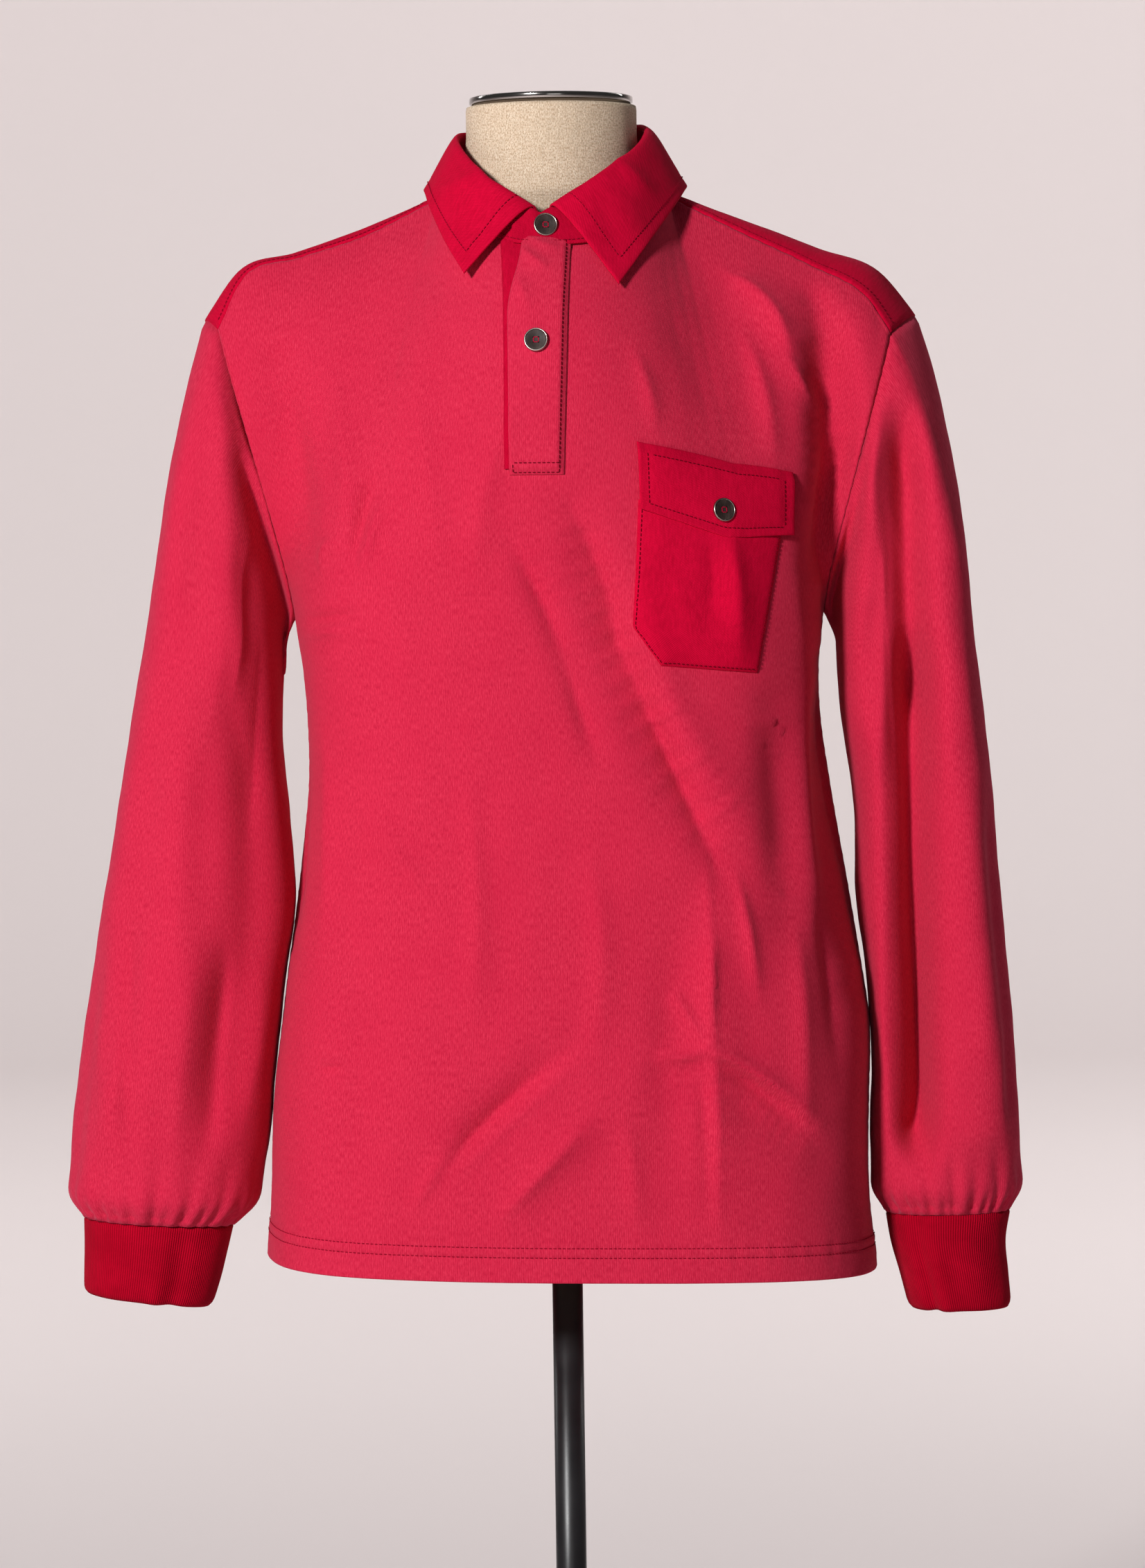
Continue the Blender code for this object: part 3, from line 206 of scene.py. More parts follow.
# Sleeve folds: angle round the sleeve from its outer side over the front, half width in degrees
SLEEVE_FOLDS_RIGHT = metres([
    # angle, width, depth, z top, z bottom
    (118, 16, -10, 1200, 720),
    (62, 18, 4, 1150, 760),
    (30, 14, -4, 1000, 720),
    (235, 18, -7, 1150, 740),
    (300, 16, -5, 1100, 760),
], (0, 1))
SLEEVE_FOLDS_LEFT = metres([
    (52, 16, -5.5, 1050, 760),
    (84, 15, 4.5, 1120, 740),
    (126, 17, -7, 1180, 740),
    (24, 13, -4, 900, 700),
    (240, 18, -7, 1150, 740),
    (305, 16, -5, 1100, 760),
], (0, 1))
# Slope of the sleeve's outer side where it leaves the shoulder and at the armpit's level
CAP_SLOPES = {1.0: (0.30, 0.12), -1.0: (0.20, 0.20)}
# Direction in which the sleeve leaves the armhole, outwards, forwards and down: on top, beside, below
CAP_TOP_FALL = -0.96
CAP_BESIDE = (0.60, 0.45, -0.48)
CAP_BELOW = (0.22, 0.0, -1.0)
# Angle from the sleeve's top at which the yoke's seams meet it, in front and behind
YOKE_TURN_FRONT = 34
YOKE_TURN_BACK = 322
SLANT_HEIGHT = 0.080

# Collar
ROLL_HALF_WIDTH = 0.0642
ROLL_CENTRE_Y = -0.003
ROLL_REACH = 0.0785
ROLL_FRONT_Z = 1.372
ROLL_SIDE_RISE = 0.052
ROLL_BACK_RISE = 0.008
ROLL_FRONT_SHIFT = 0.0075
ROLL_TILT = 0.002
STAND_LAP_START = -4.0
STAND_LAP_END = 19.0
STAND_LAP_LIFT = 0.0024
STAND_FRONT_DROP = 0.0026
LEAF_START = 8.0
LEAF_LIFT = 0.0025
# How far the leaf swings out from its fold, at the front and at the left side
LEAF_SWING = 0.38
LEAF_SWING_LEFT = 0.24
# Collar edge: turn from the front middle in degrees, x, y, z
LEAF_EDGE_LEFT = metres([
    (8, -59.6, -101, 1322.5),
    (40, -74, -70, 1348),
    (75, -86, -23, 1378),
    (120, -82, 40, 1386),
    (180, 0, 98.5, 1384),
], (0,))
LEAF_EDGE_RIGHT = metres([
    (8, 43.8, -107, 1313.5),
    (40, 66.5, -76, 1345),
    (75, 89, -23, 1378),
    (120, 85, 40, 1386),
    (180, 0, 98.5, 1384),
], (0,))

# Pieces on the front, by x and z seen from the front
LIE_GAP = 0.0007
PLACKET_TOP_Z = 1.3450
PLACKET_NECK_GAP = 0.0020
PLACKET_BOTTOM_Z = 1.1870
PLACKET_LEFT_X = -0.0311
PLACKET_RIGHT_TOP_X = 0.0125
PLACKET_RIGHT_BOTTOM_X = 0.0060
PLACKET_CURVE = 0.0110
PLACKET_CURVE_Z = 1.2900
UNDER_LEFT_X = -0.0345
UNDER_RIGHT_X = -0.0060
UNDER_THICKNESS = 0.0010
# Pocket and flap corners: upper left, upper right, lower right, lower left
POCKET_CORNERS = [(0.0555, 1.1700), (0.1530, 1.1560), (0.1335, 1.0540), (0.0690, 1.0600)]
POCKET_LEFT_BEND = (0.0505, 1.0860)
FLAP_CORNERS = [(0.0545, 1.2080), (0.1575, 1.1870), (0.1570, 1.1450), (0.0560, 1.1640)]
FLAP_POINT = (0.1125, 1.1440)
FLAP_LIFT = 0.0030

# Buttons
BUTTON_RADIUS = 0.0080
BUTTON_THICKNESS = 0.0026
BUTTON_RIM = 0.0007
BUTTON_LIFT = 0.0006
BUTTON_PLACKET = (-0.0117, 1.2742)
BUTTON_POCKET = (0.1098, 1.1620)
BUTTON_STAND_TURN = -0.5

# Dress form and stand
CAP_RADIUS = 0.0558
FORM_BOTTOM_Z = 0.7200
FORM_SECTIONS = metres([
    # z, centre x, half width, front, back, squareness
    (720, 3, 150, -95, 90, 0.1),
    (730, 3, 160, -103, 96, 0.1),
    (800, 3, 168, -108, 98, 0.12),
    (880, 3, 160, -104, 92, 0.12),
    (960, 3, 152, -102, 86, 0.12),
    (1040, 2, 160, -110, 90, 0.14),
    (1120, 2, 168, -118, 96, 0.16),
    (1180, 2, 172, -115, 95, 0.14),
    (1240, 2, 174, -96, 90, 0.06),
    (1280, 2, 180, -74, 80, 0),
    (1305, 2, 181, -54, 68, 0),
    (1320, 3, 174, -43, 60, 0),
    (1337.4, 3, 154, -38.7, 60, 0),
    (1347.7, 0.5, 128, -40.8, 62, 0),
    (1356.5, 0, 95.5, -41.4, 62, 0),
    (1366, 0, 75, -54, 64, 0),
    (1380, 0, 66, -60, 64, 0),
    (1400, 0, 59.5, -58.5, 60, 0),
    (1420, 0, 58.2, -58.2, 58.2, 0),
    (1443, 0, 58.2, -58.2, 58.2, 0),
], (5,))
POLE_RADIUS = 0.0105
FLANGE_RADIUS = 0.0350
FLANGE_HEIGHT = 0.0200
FOOT_RADIUS = 0.1700
FOOT_THICKNESS = 0.0080
HUB_RADIUS = 0.0220
HUB_TOP_Z = 0.0340

# Grid steps of the shells
NECK_STEPS = 96
SHOULDER_STEPS = 44
LOWER_STEPS = 150
FRONT_STEPS = 104
BACK_STEPS = 60
YOKE_STEPS = 42
YOKE_TOP_STEP = 18
CAP_STEPS = 36
SLEEVE_STEPS = 110
CUFF_STEPS = 26

FRONT = -1.0
BACK = 1.0

# Smaller creases: an arc through three points, half its width, its depth, and how sharp it is
FRONT_CREASES = metres([
    # x, z three times, width, depth, sharpness
    (10, 1164, 34, 1108, 40, 1070, 6, -2.8, 1.3),
    (32, 1095, 56, 1040, 82, 980, 5.9, -2.8, 1.4),
    (58, 1030, 85, 972, 106, 918, 5.5, -3.2, 1.3),
    (-30, 1140, -10, 1102, 4, 1062, 4.4, -2.1, 1.2),
    (4, 1062, 14, 1030, 24, 1000, 4.4, -1.7, 1.2),
    (96, 805, 76, 800, 60, 803, 3.3, 3, 1.1),
    (96, 805, 80, 832, 72, 842, 3, 2.5, 1.1),
    (96, 805, 98, 850, 100, 880, 3.3, 2.3, 1.1),
    (96, 805, 130, 786, 170, 752, 3.7, 3.2, 1.1),
    (94, 800, 128, 778, 165, 742, 4.4, -3, 1.4),
    (96, 948, 100, 800, 102, 668, 2.6, 1.8, 1),
    (116, 920, 124, 880, 130, 838, 4.4, 2.5, 1.3),
    (90, 790, 94, 750, 94, 700, 4.4, -1.6, 1.4),
    (-130, 1118, -122, 1150, -110, 1178, 3.7, 2.3, 1.2),
    (-136, 1130, -130, 1160, -118, 1196, 3.7, -2.1, 1.3),
    (-158, 1128, -154, 1142, -140, 1146, 3.7, 1.8, 1.3),
    (-172, 1094, -152, 1094, -130, 1098, 3.7, -2.1, 1.4),
    (-170, 1082, -154, 1086, -138, 1086, 3.3, 1.6, 1.3),
    (-163, 797, -155, 798, -146, 798, 2.2, 2.1, 1.1),
    (-163, 793, -155, 794, -148, 794, 2.2, -1.6, 1.2),
    (-78, 730, -48, 762, 2, 806, 5.2, -2.5, 1.4),
    (-72, 722, -40, 755, 10, 800, 4.4, 1.8, 1.3),
    (-42, 696, -14, 726, 16, 758, 4.4, 2.1, 1.3),
    (-100, 700, -90, 720, -74, 742, 4.4, 1.4, 1.3),
    (-120, 960, -108, 935, -90, 915, 5.9, 1.4, 1.4),
    (-60, 980, -56, 900, -60, 830, 7.4, 1.4, 1.6),
    (-90, 1260, -86, 1200, -80, 1130, 8.1, 1.4, 1.6),
    (-148, 1255, -140, 1200, -140, 1140, 7.4, 2.1, 1.5),
    (118, 1322, 146, 1298, 158, 1262, 5.2, 2.8, 1.3),
    (158, 1262, 168, 1242, 180, 1224, 4.4, 2.1, 1.3),
    (70, 1300, 90, 1262, 100, 1220, 11, -0.8, 1.6),
    (128, 1280, 140, 1240, 146, 1190, 5.9, 2.1, 1.4),
    (52, 1270, 62, 1240, 66, 1215, 5.2, 1.4, 1.4),
    (158, 1130, 162, 1060, 162, 990, 9, 1.6, 1.6),
    (172, 900, 180, 850, 186, 780, 6.7, -2.3, 1.5),
    (156, 880, 160, 820, 160, 740, 6.7, 2.1, 1.5),
    (-160, 1020, -156, 940, -162, 860, 6.7, 1.8, 1.5),
    (20, 930, 26, 870, 20, 800, 8.9, 1.4, 1.6),
    (40, 760, 46, 720, 46, 680, 5.9, 1.1, 1.5),
    (-20, 1240, -46, 1180, -52, 1120, 8.1, 1.1, 1.6),
    (178, 1305, 191, 1232, 195, 1140, 12.5, -8.5, 2.2),
    (116, 1150, 118, 1100, 120, 1050, 9, 1.2, 1.2),
    (82, 1330, 90, 1260, 108, 1190, 26, 1.2, 2),
    (-82, 1330, -90, 1260, -100, 1190, 19.2, 2.5, 2),
    (195, 1215, 190, 1160, 180, 1105, 12, -5.5, 2),
    (164, 1270, 170, 1215, 168, 1150, 9, 1.8, 1.8),
    (176, 1060, 181, 950, 194, 840, 10, -4.2, 2),
    (164, 1040, 167, 950, 180, 850, 10, 1.4, 1.8),
    (-176, 1040, -178, 960, -184, 870, 4.4, -3.4, 1.8),
], (8,))
BACK_CREASES = metres([
    (-125, 1200, -110, 1120, -80, 1040, 8, 2.4, 1.3),
    (118, 1205, 104, 1120, 74, 1045, 8, 2.4, 1.3),
    (-70, 1250, -64, 1200, -50, 1130, 9, 1.6, 1.4),
    (66, 1248, 60, 1190, 44, 1110, 9, 1.8, 1.4),
    (4, 1230, 0, 1150, -6, 1050, 11, -1.4, 1.6),
    (-150, 1120, -130, 1090, -95, 1070, 6, -2, 1.3),
    (148, 1118, 128, 1094, 98, 1078, 6, -2, 1.3),
    (-100, 960, -60, 930, -10, 930, 7, 1.8, 1.3),
    (-10, 930, 40, 934, 96, 968, 7, 1.8, 1.3),
    (-98, 942, -56, 912, -8, 912, 7, -1.6, 1.4),
    (110, 870, 80, 846, 40, 840, 6, 1.6, 1.3),
    (-120, 840, -80, 812, -44, 808, 6, 1.6, 1.3),
    (-10, 860, -6, 780, -12, 690, 6, 1.4, 1.2),
    (100, 790, 108, 730, 106, 680, 7, 1.4, 1.4),
    (-80, 780, -86, 730, -84, 680, 7, 1.4, 1.4),
    (-168, 980, -166, 900, -172, 820, 8, 1.8, 1.4),
    (170, 980, 168, 900, 176, 820, 8, 1.8, 1.4),
], (8,))
# Sleeve creases: angle round the sleeve from its outer side over the front, at the upper and lower end
SLEEVE_CREASES_LEFT = metres([
    # angle, z, angle, z, width, depth, sharpness
    (120, 1190, 112, 1040, 6, 2.4, 1.3),
    (138, 1090, 126, 950, 6, -2.2, 1.3),
    (100, 1120, 84, 980, 9, 1.8, 1.5),
    (70, 1170, 62, 1040, 10, -1.4, 1.6),
    (60, 985, 90, 962, 7, 1.6, 1.4),
    (66, 900, 98, 885, 6, -1.6, 1.4),
    (80, 900, 84, 780, 9, 2, 1.5),
    (108, 880, 104, 770, 8, -1.8, 1.5),
    (46, 860, 56, 760, 9, 1.6, 1.5),
    (78, 768, 112, 756, 5, 1.8, 1.3),
    (76, 760, 110, 748, 5, -1.4, 1.4),
    (30, 800, 40, 720, 8, -1.6, 1.5),
    (140, 860, 134, 740, 8, 1.8, 1.5),
    (240, 1150, 262, 1040, 8, 2, 1.4),
    (284, 1120, 300, 1020, 9, -2, 1.5),
    (246, 985, 290, 960, 7, 2, 1.4),
    (240, 965, 286, 940, 7, -1.6, 1.5),
    (270, 890, 262, 780, 9, 2, 1.5),
    (300, 880, 308, 760, 9, -1.8, 1.5),
    (330, 1020, 336, 900, 10, 1.4, 1.6),
], (0, 2, 6))
SLEEVE_CREASES_RIGHT = metres([
    (118, 1200, 104, 1060, 5.5, 2.4, 1.3),
    (96, 1215, 88, 1110, 6, 2.2, 1.3),
    (78, 1230, 74, 1150, 7, -1.8, 1.4),
    (132, 1080, 122, 940, 7, 2.2, 1.4),
    (104, 1020, 110, 880, 7, -2.4, 1.4),
    (92, 1030, 98, 880, 8, 2.2, 1.5),
    (60, 1010, 84, 985, 7, 1.4, 1.4),
    (40, 1100, 44, 960, 11, 1.4, 1.6),
    (112, 860, 108, 740, 7, -2.4, 1.4),
    (92, 850, 90, 750, 8, 2, 1.5),
    (60, 880, 66, 780, 9, -1.4, 1.6),
    (36, 820, 42, 740, 9, 1.4, 1.6),
    (80, 776, 106, 762, 5, 1.6, 1.3),
    (140, 880, 132, 750, 8, 1.8, 1.5),
    (242, 1150, 262, 1050, 8, 2, 1.4),
    (286, 1110, 302, 1010, 9, -2, 1.5),
    (248, 975, 292, 950, 7, 2, 1.4),
    (242, 955, 288, 930, 7, -1.6, 1.5),
    (268, 900, 260, 790, 9, 2, 1.5),
    (300, 870, 310, 760, 9, -1.8, 1.5),
], (0, 2, 6))
# Forms of the sleeve fronts that hang plumb: x and z at both ends, half width, how far forward
SLEEVE_FORMS_LEFT = metres([
    # x, z, x, z, width, forward
    (-226, 1260, -216, 1140, 11, 6),
    (-216, 1140, -206, 1010, 11, 6),
    (-206, 1200, -189, 1120, 8, -22),
    (-189, 1130, -185, 1040, 8, -16),
    (-242, 1180, -244, 900, 12, -3),
    (-280, 1060, -308, 760, 18, 5),
    (-248, 860, -264, 740, 10, 4),
    (-228, 860, -242, 740, 8, -4.5),
    (-295, 880, -296, 740, 8, -4),
])
SLEEVE_FORMS_RIGHT = metres([
    (234, 1220, 239, 1040, 11.5, -24),
    (239, 1060, 239, 720, 12, -36),
    (214, 1180, 212, 1000, 6, 5),
    (212, 1020, 217, 740, 6, 5),
    (270, 1160, 286, 720, 24, 8),
    (200, 1215, 186, 1100, 7.5, -24),
    (213, 1215, 201, 1080, 6.5, 8),
    (244, 1150, 260, 980, 9, 3),
])
# Gathers over the cuffs: angle round the sleeve, half width in degrees, depth, height over the seam
GATHERS = metres([
    # angle, width, depth, height
    (8, 4, -2.6, 30),
    (22, 4.5, -3, 50),
    (38, 3.8, -2.6, 32),
    (51, 4, -3.4, 60),
    (62, 3.4, -2.8, 36),
    (73, 3.8, -3.2, 52),
    (88, 3.2, -3, 70),
    (95, 3, -2.6, 34),
    (107, 3.8, -3.4, 64),
    (119, 3.4, -3, 40),
    (129, 3.6, -3, 56),
    (144, 4.2, -2.8, 36),
    (160, 4.4, -2.6, 48),
    (176, 4, -2.6, 34),
    (192, 4.6, -2.8, 50),
    (208, 4, -2.6, 34),
    (222, 4.2, -3.2, 58),
    (238, 3.6, -2.8, 36),
    (250, 3.8, -3.2, 54),
    (264, 3.2, -2.8, 38),
    (276, 3.6, -3.2, 66),
    (290, 3.8, -2.8, 40),
    (304, 4, -3, 52),
    (320, 4.2, -2.6, 34),
    (336, 4, -2.8, 48),
    (350, 3.6, -2.4, 30),
], (0, 1))
# Soft folds of the collar leaf, seen from the front
LEAF_CREASES = metres([
    (46, 1398, 56, 1386, 72, 1374, 5, 1.6, 1.3),
    (-50, 1392, -62, 1384, -76, 1380, 6, 1.2, 1.5),
    (-40, 1388, -50, 1362, -56, 1342, 9, -1, 1.6),
    (30, 1372, 40, 1350, 44, 1332, 9, -1, 1.6),
], (8,))
POCKET_CREASES = metres([
    (100, 1142, 104, 1112, 100, 1084, 5.4, -1, 1.5),
    (112, 1142, 120, 1108, 118, 1066, 6.3, 1, 1.5),
    (78, 1120, 86, 1096, 100, 1078, 7.2, 0.5, 1.5),
    (115, 1205, 116, 1135, 117, 1065, 8.1, 1, 1.2),
    (86, 1160, 106, 1152, 140, 1150, 4.5, -0.4, 1.5),
], (8,))
PLACKET_CREASES = metres([
    (-22, 1338, -12, 1328, -2, 1322, 4, 1.2, 1.3),
    (-18, 1346, -6, 1338, 6, 1336, 4, 1, 1.3),
    (-26, 1318, -20, 1306, -18, 1290, 5, 0.8, 1.4),
], (8,))

# Stitches
STITCH_LIFT = 0.00035
STITCH_PITCH = 0.0031
STITCH_LENGTH = 0.0023
STITCH_RADIUS = 0.00030
HEM_ROWS = (0.0170, 0.0235)

SLEEVES = {
    -1.0: (SLEEVE_LEFT, SLEEVE_FOLDS_LEFT, SLEEVE_CREASES_LEFT, SLEEVE_FORMS_LEFT, CUFF_LEFT),
    1.0: (SLEEVE_RIGHT, SLEEVE_FOLDS_RIGHT, SLEEVE_CREASES_RIGHT, SLEEVE_FORMS_RIGHT, CUFF_RIGHT),
}

# Strength of the creases and gathers; the sleeves' outer front sides, flatter than a plain ring
CREASE_STRENGTH = 2.1
GATHER_STRENGTH = 1.5
SLEEVE_FLATNESS = {1.0: 0.42, -1.0: 1.0}
FLAT_SIDE_REACH = 0.056
FLAT_SIDE_TOP_Z = 1.215
# Dents of the cuffs: angle, half width in degrees, depth
CUFF_DENTS = {
    -1.0: ((98.0, 7.0, 0.0016), (112.0, 8.0, -0.0026), (60.0, 16.0, 0.0006), (250.0, 12.0, -0.0020)),
    1.0: ((122.0, 7.0, -0.0034), (106.0, 9.0, 0.0018), (70.0, 14.0, 0.0006), (262.0, 12.0, -0.0018)),
}

# Collar leaf's grid: rows, turns and radius of its rolled fold, share at which it is stitched
LEAF_ROWS = 26
LEAF_ROLL_TURNS = (125.0, 95.0, 65.0, 35.0)
LEAF_ROLL_RADIUS = 0.0021
LEAF_SEWN_SHARE = 0.86

# Tops of the neck and its cap as they show in the picture
NECK_SEEN_Z = 1.4391
CAP_SEEN_Z = 1.4458
FORM = ["form_cover"]

# Studio: paper and world tones, lights, and the width of one band of a wave texture at scale 1
STUDIO_TONE = (0.76, 0.688, 0.682)
WORLD_TONE = (0.80, 0.79, 0.79)
WORLD_STRENGTH = 0.08
LIGHTS = (
    # name, place, aim, size, power
    ("key", (-1.85, -3.40, 2.35), (0, 0, 1.0), 0.50, 184),
    ("fill", (0.4, -4.8, 1.3), (0, 0, 1.0), 1.6, 7),
    ("backdrop_left", (-5.0, 3.5, 4.0), (0, 10.5, 0.8), 4.0, 270),
    ("backdrop_right", (5.0, 3.5, 4.4), (0.4, 10.5, 1.3), 4.0, 385),
    ("floor", (0, 5.0, 6.5), (0, 5.5, 0), 5.0, 60),
)
WAVE_BAND = 2 * pi / 20.0


def hermite(start, end, leave, arrive, t):
    """Point at t on the curve from start to end with the two given tangents."""
    return (
        (2 * t**3 - 3 * t**2 + 1) * start
        + (t**3 - 2 * t**2 + t) * leave
        + (3 * t**2 - 2 * t**3) * end
        + (t**3 - t**2) * arrive
    )


def read_table(table, at):
    """Reads every column of a table, smoothly, at the given values of its first column."""
    table = np.array(table)
    keys = table[:, 0]
    values = table[:, 1:]
    slopes = np.gradient(values, keys, axis=0)
    at = np.clip(np.asarray(at, float), keys[0], keys[-1])
    row = np.clip(np.searchsorted(keys, at, side="right") - 1, 0, len(keys) - 2)
    span = (keys[row + 1] - keys[row])[..., None]
    t = (at[..., None] - keys[row][..., None]) / span
    return hermite(values[row], values[row + 1], slopes[row] * span, slopes[row + 1] * span, t)


def joined(*parts):
    """Stacks coordinates into points."""
    return np.stack(np.broadcast_arrays(*parts), axis=-1)


def ease(value, low, high):
    """Rises softly from 0 at low to 1 at high."""
    t = np.clip((value - low) / (high - low), 0, 1)
    return t * t * (3 - 2 * t)


def normals_of(surface, a, b, step=1e-3):
    """Unit normals of a surface of two parameters."""
    along = surface(a + step, b) - surface(a - step, b)
    up = surface(a, b + step) - surface(a, b - step)
    normal = np.cross(along, up)
    return normal / np.linalg.norm(normal, axis=-1, keepdims=True)


def nearest_on_arc(x, z, arc, count):
    """Squared distance to an arc through three points, and the share along it of its nearest point."""
    x1, z1, x2, z2, x3, z3 = arc
    t = np.linspace(0, 1, count)
    mid_x = 2 * x2 - (x1 + x3) / 2
    mid_z = 2 * z2 - (z1 + z3) / 2
    line_x = (1 - t) ** 2 * x1 + 2 * t * (1 - t) * mid_x + t**2 * x3
    line_z = (1 - t) ** 2 * z1 + 2 * t * (1 - t) * mid_z + t**2 * z3
    away = (x[..., None] - line_x) ** 2 + (z[..., None] - line_z) ** 2
    return away.min(axis=-1), t[away.argmin(axis=-1)]


def fold_depth(folds, x, z):
    """Sum of the soft folds at a place on a panel."""
    total = np.zeros(np.shape(x))
    for *arc, width, depth in folds:
        away, t = nearest_on_arc(x, z, arc, 17)
        total += depth * np.sin(pi * np.clip(t, 0.06, 0.94)) ** 0.7 * np.exp(-away / width**2)
    return total


def body_section(side, s, z):
    """Point of the front or back half below the armpit, s from -1 at the left seam to 1 at the right."""
    left, right, front, back = np.moveaxis(read_table(BODY_SECTIONS, z), -1, 0)
    depth = front if side == FRONT else back
    turn = s * pi / 2
    x = (right - left) / 2 + (right + left) / 2 * np.sin(turn) * (1 + BODY_SQUARENESS * np.cos(turn) ** 2)
    y = depth * np.cos(turn) * (1 + BODY_SQUARENESS * np.sin(turn) ** 2)
    return joined(x, y, z)


def neckline(side, p):
    """Point of the neckline, p from -1 at the left shoulder to 1 at the right one."""
    turn = p * pi / 2
    reach = NECK_FRONT_REACH if side == FRONT else NECK_BACK_REACH
    rise = -NECK_FRONT_DROP if side == FRONT else NECK_BACK_RISE
    x = NECK_HALF_WIDTH * np.sin(turn)
    y = NECK_CENTRE_Y + side * reach * np.cos(turn)
    z = NECK_SIDE_Z + rise * np.cos(turn)
    return joined(x, y, z)


def shoulder(s):
    """The three shoulder points (front seam, top, back seam) beyond the neck."""
    u = np.clip((np.abs(s) - NECK_SHARE) / (1 - NECK_SHARE), 0, 1)
    right = read_table(SHOULDER_RIGHT, u)
    left = read_table(SHOULDER_LEFT, u)
    values = np.where((s > 0)[..., None], right, left)
    return values[..., 0:3], values[..., 3:6], values[..., 6:9]


def top_of_front(s):
    """Upper edge of the front: neckline in the middle, yoke seams beside it."""
    seam, _, _ = shoulder(s)
    middle = neckline(FRONT, np.clip(s / NECK_SHARE, -1, 1))
    return np.where((np.abs(s) < NECK_SHARE)[..., None], middle, seam)


def top_of_back(s):
    """Back yoke seam."""
    _, _, seam = shoulder(s)
    p = np.clip(s / NECK_SHARE, -1, 1)
    seam_x, seam_y, seam_z = SHOULDER_RIGHT[0][7:]
    middle = joined(seam_x * p, seam_y + BACK_SEAM_BOW * np.cos(p * pi / 2), seam_z + 0 * p)
    return np.where((np.abs(s) < NECK_SHARE)[..., None], middle, seam)


def yoke(s, t):
    """Yoke, t from the front seam or the neckline over the shoulder to the back seam."""
    seam, top, back = shoulder(s)
    p = np.clip(s / NECK_SHARE, -1, 1)
    round_neck = np.cos(p * pi / 2)
    neck_top = joined(
        YOKE_NECK_X * np.sin(p * pi / 2),
        YOKE_NECK_Y + YOKE_NECK_BACK * round_neck,
        YOKE_NECK_Z - YOKE_NECK_DROP * round_neck,
    )
    near_neck = (np.abs(s) < NECK_SHARE)[..., None]
    start = np.where(near_neck, neckline(BACK, p), seam)
    middle = np.where(near_neck, neck_top, top)
    end = top_of_back(s)
    t = np.asarray(t)[..., None]
    m = YOKE_TOP_SHARE
    return (
        start * (t - m) * (t - 1) / m
        + middle * t * (t - 1) / (m * (m - 1))
        + end * t * (t - m) / (1 - m)
    )


def upper_panel(side, s, w):
    """Point of the front or back above the armpit, w from 0 at the armpit to 1 at the top."""
    start = body_section(side, s, ARMPIT_Z + 0 * s)
    end = top_of_front(s) if side == FRONT else top_of_back(s)
    edge = np.abs(s) ** 6
    leave_y, leave_z, leave_edge_y, leave_edge_z, *rest = PANEL_TANGENTS[side]
    arrive_y, arrive_z, arrive_edge_y, arrive_edge_z = rest
    out = edge * np.sign(s)
    leave = joined(EDGE_LEAVE_X * out, leave_y + leave_edge_y * edge, leave_z + leave_edge_z * edge)
    arrive = joined(EDGE_ARRIVE_X * out, arrive_y + arrive_edge_y * edge, arrive_z + arrive_edge_z * edge)
    return hermite(start, end, leave, arrive, np.asarray(w)[..., None])


def plain_panel(side, s, v):
    """Whole front or back without folds: v runs 0 to 1 up to the armpit and 1 to 2 above it."""
    s = np.asarray(s, float)
    v = np.asarray(v, float)
    hem = HEM_Z - HEM_SLANT * s
    z = hem + (ARMPIT_Z - hem) * np.minimum(v, 1)
    lower = body_section(side, s, z)
    upper = upper_panel(side, s, np.maximum(v - 1, 0))
    return np.where((v <= 1)[..., None], lower, upper)


def panel(side, s, v):
    """Whole front or back with its folds, which die out at the seams."""
    s = np.asarray(s, float)
    v = np.asarray(v, float)
    base = plain_panel(side, s, v)
    normal = -side * normals_of(lambda a, b: plain_panel(side, a, b), s, v)
    calm = ease(1 - np.abs(s), 0.0, 0.14) * ease(2 - v, 0.0, 0.18)
    folds = FRONT_FOLDS if side == FRONT else BACK_FOLDS
    depth = fold_depth(folds, base[..., 0], base[..., 2])
    return base + normal * (depth * calm)[..., None]


def unit(vectors):
    return vectors / np.linalg.norm(vectors, axis=-1, keepdims=True)


def grid_normals(grid, closed):
    """Unit normals at the points of a grid of rows and columns, wrapped round where it is closed."""
    up = np.gradient(grid, axis=0)
    if closed:
        along = np.roll(grid, -1, axis=1) - np.roll(grid, 1, axis=1)
    else:
        along = np.gradient(grid, axis=1)
    return unit(np.cross(along, up))


def panel_normals(side, s, v):
    """Outward normals of a panel, read just inside its seams."""
    inside = np.clip(s, -0.998, 0.998)
    return -side * normals_of(lambda a, b: plain_panel(side, a, b), inside, np.minimum(v, 1.998))


def yoke_normals(s, t):
    return normals_of(yoke, np.clip(s, -0.998, 0.998), np.clip(t, 0.002, 0.998))


def seam_normals(side, s):
    """Shared by a panel and the yoke along their seam, so that their rims stay parallel."""
    return unit(panel_normals(side, s, 2 + 0 * s) + yoke_normals(s, (side == BACK) + 0 * s))


def parted(edge, next_line):
    """Draws the edge of a grid back from its seam by half the gap."""
    return edge + unit(next_line - edge) * SEAM_GAP / 2


def part_panel(outer):
    outer[:, 0] = parted(outer[:, 0], outer[:, 1])
    outer[:, -1] = parted(outer[:, -1], outer[:, -2])
    outer[-1] = parted(outer[-1], outer[-2])


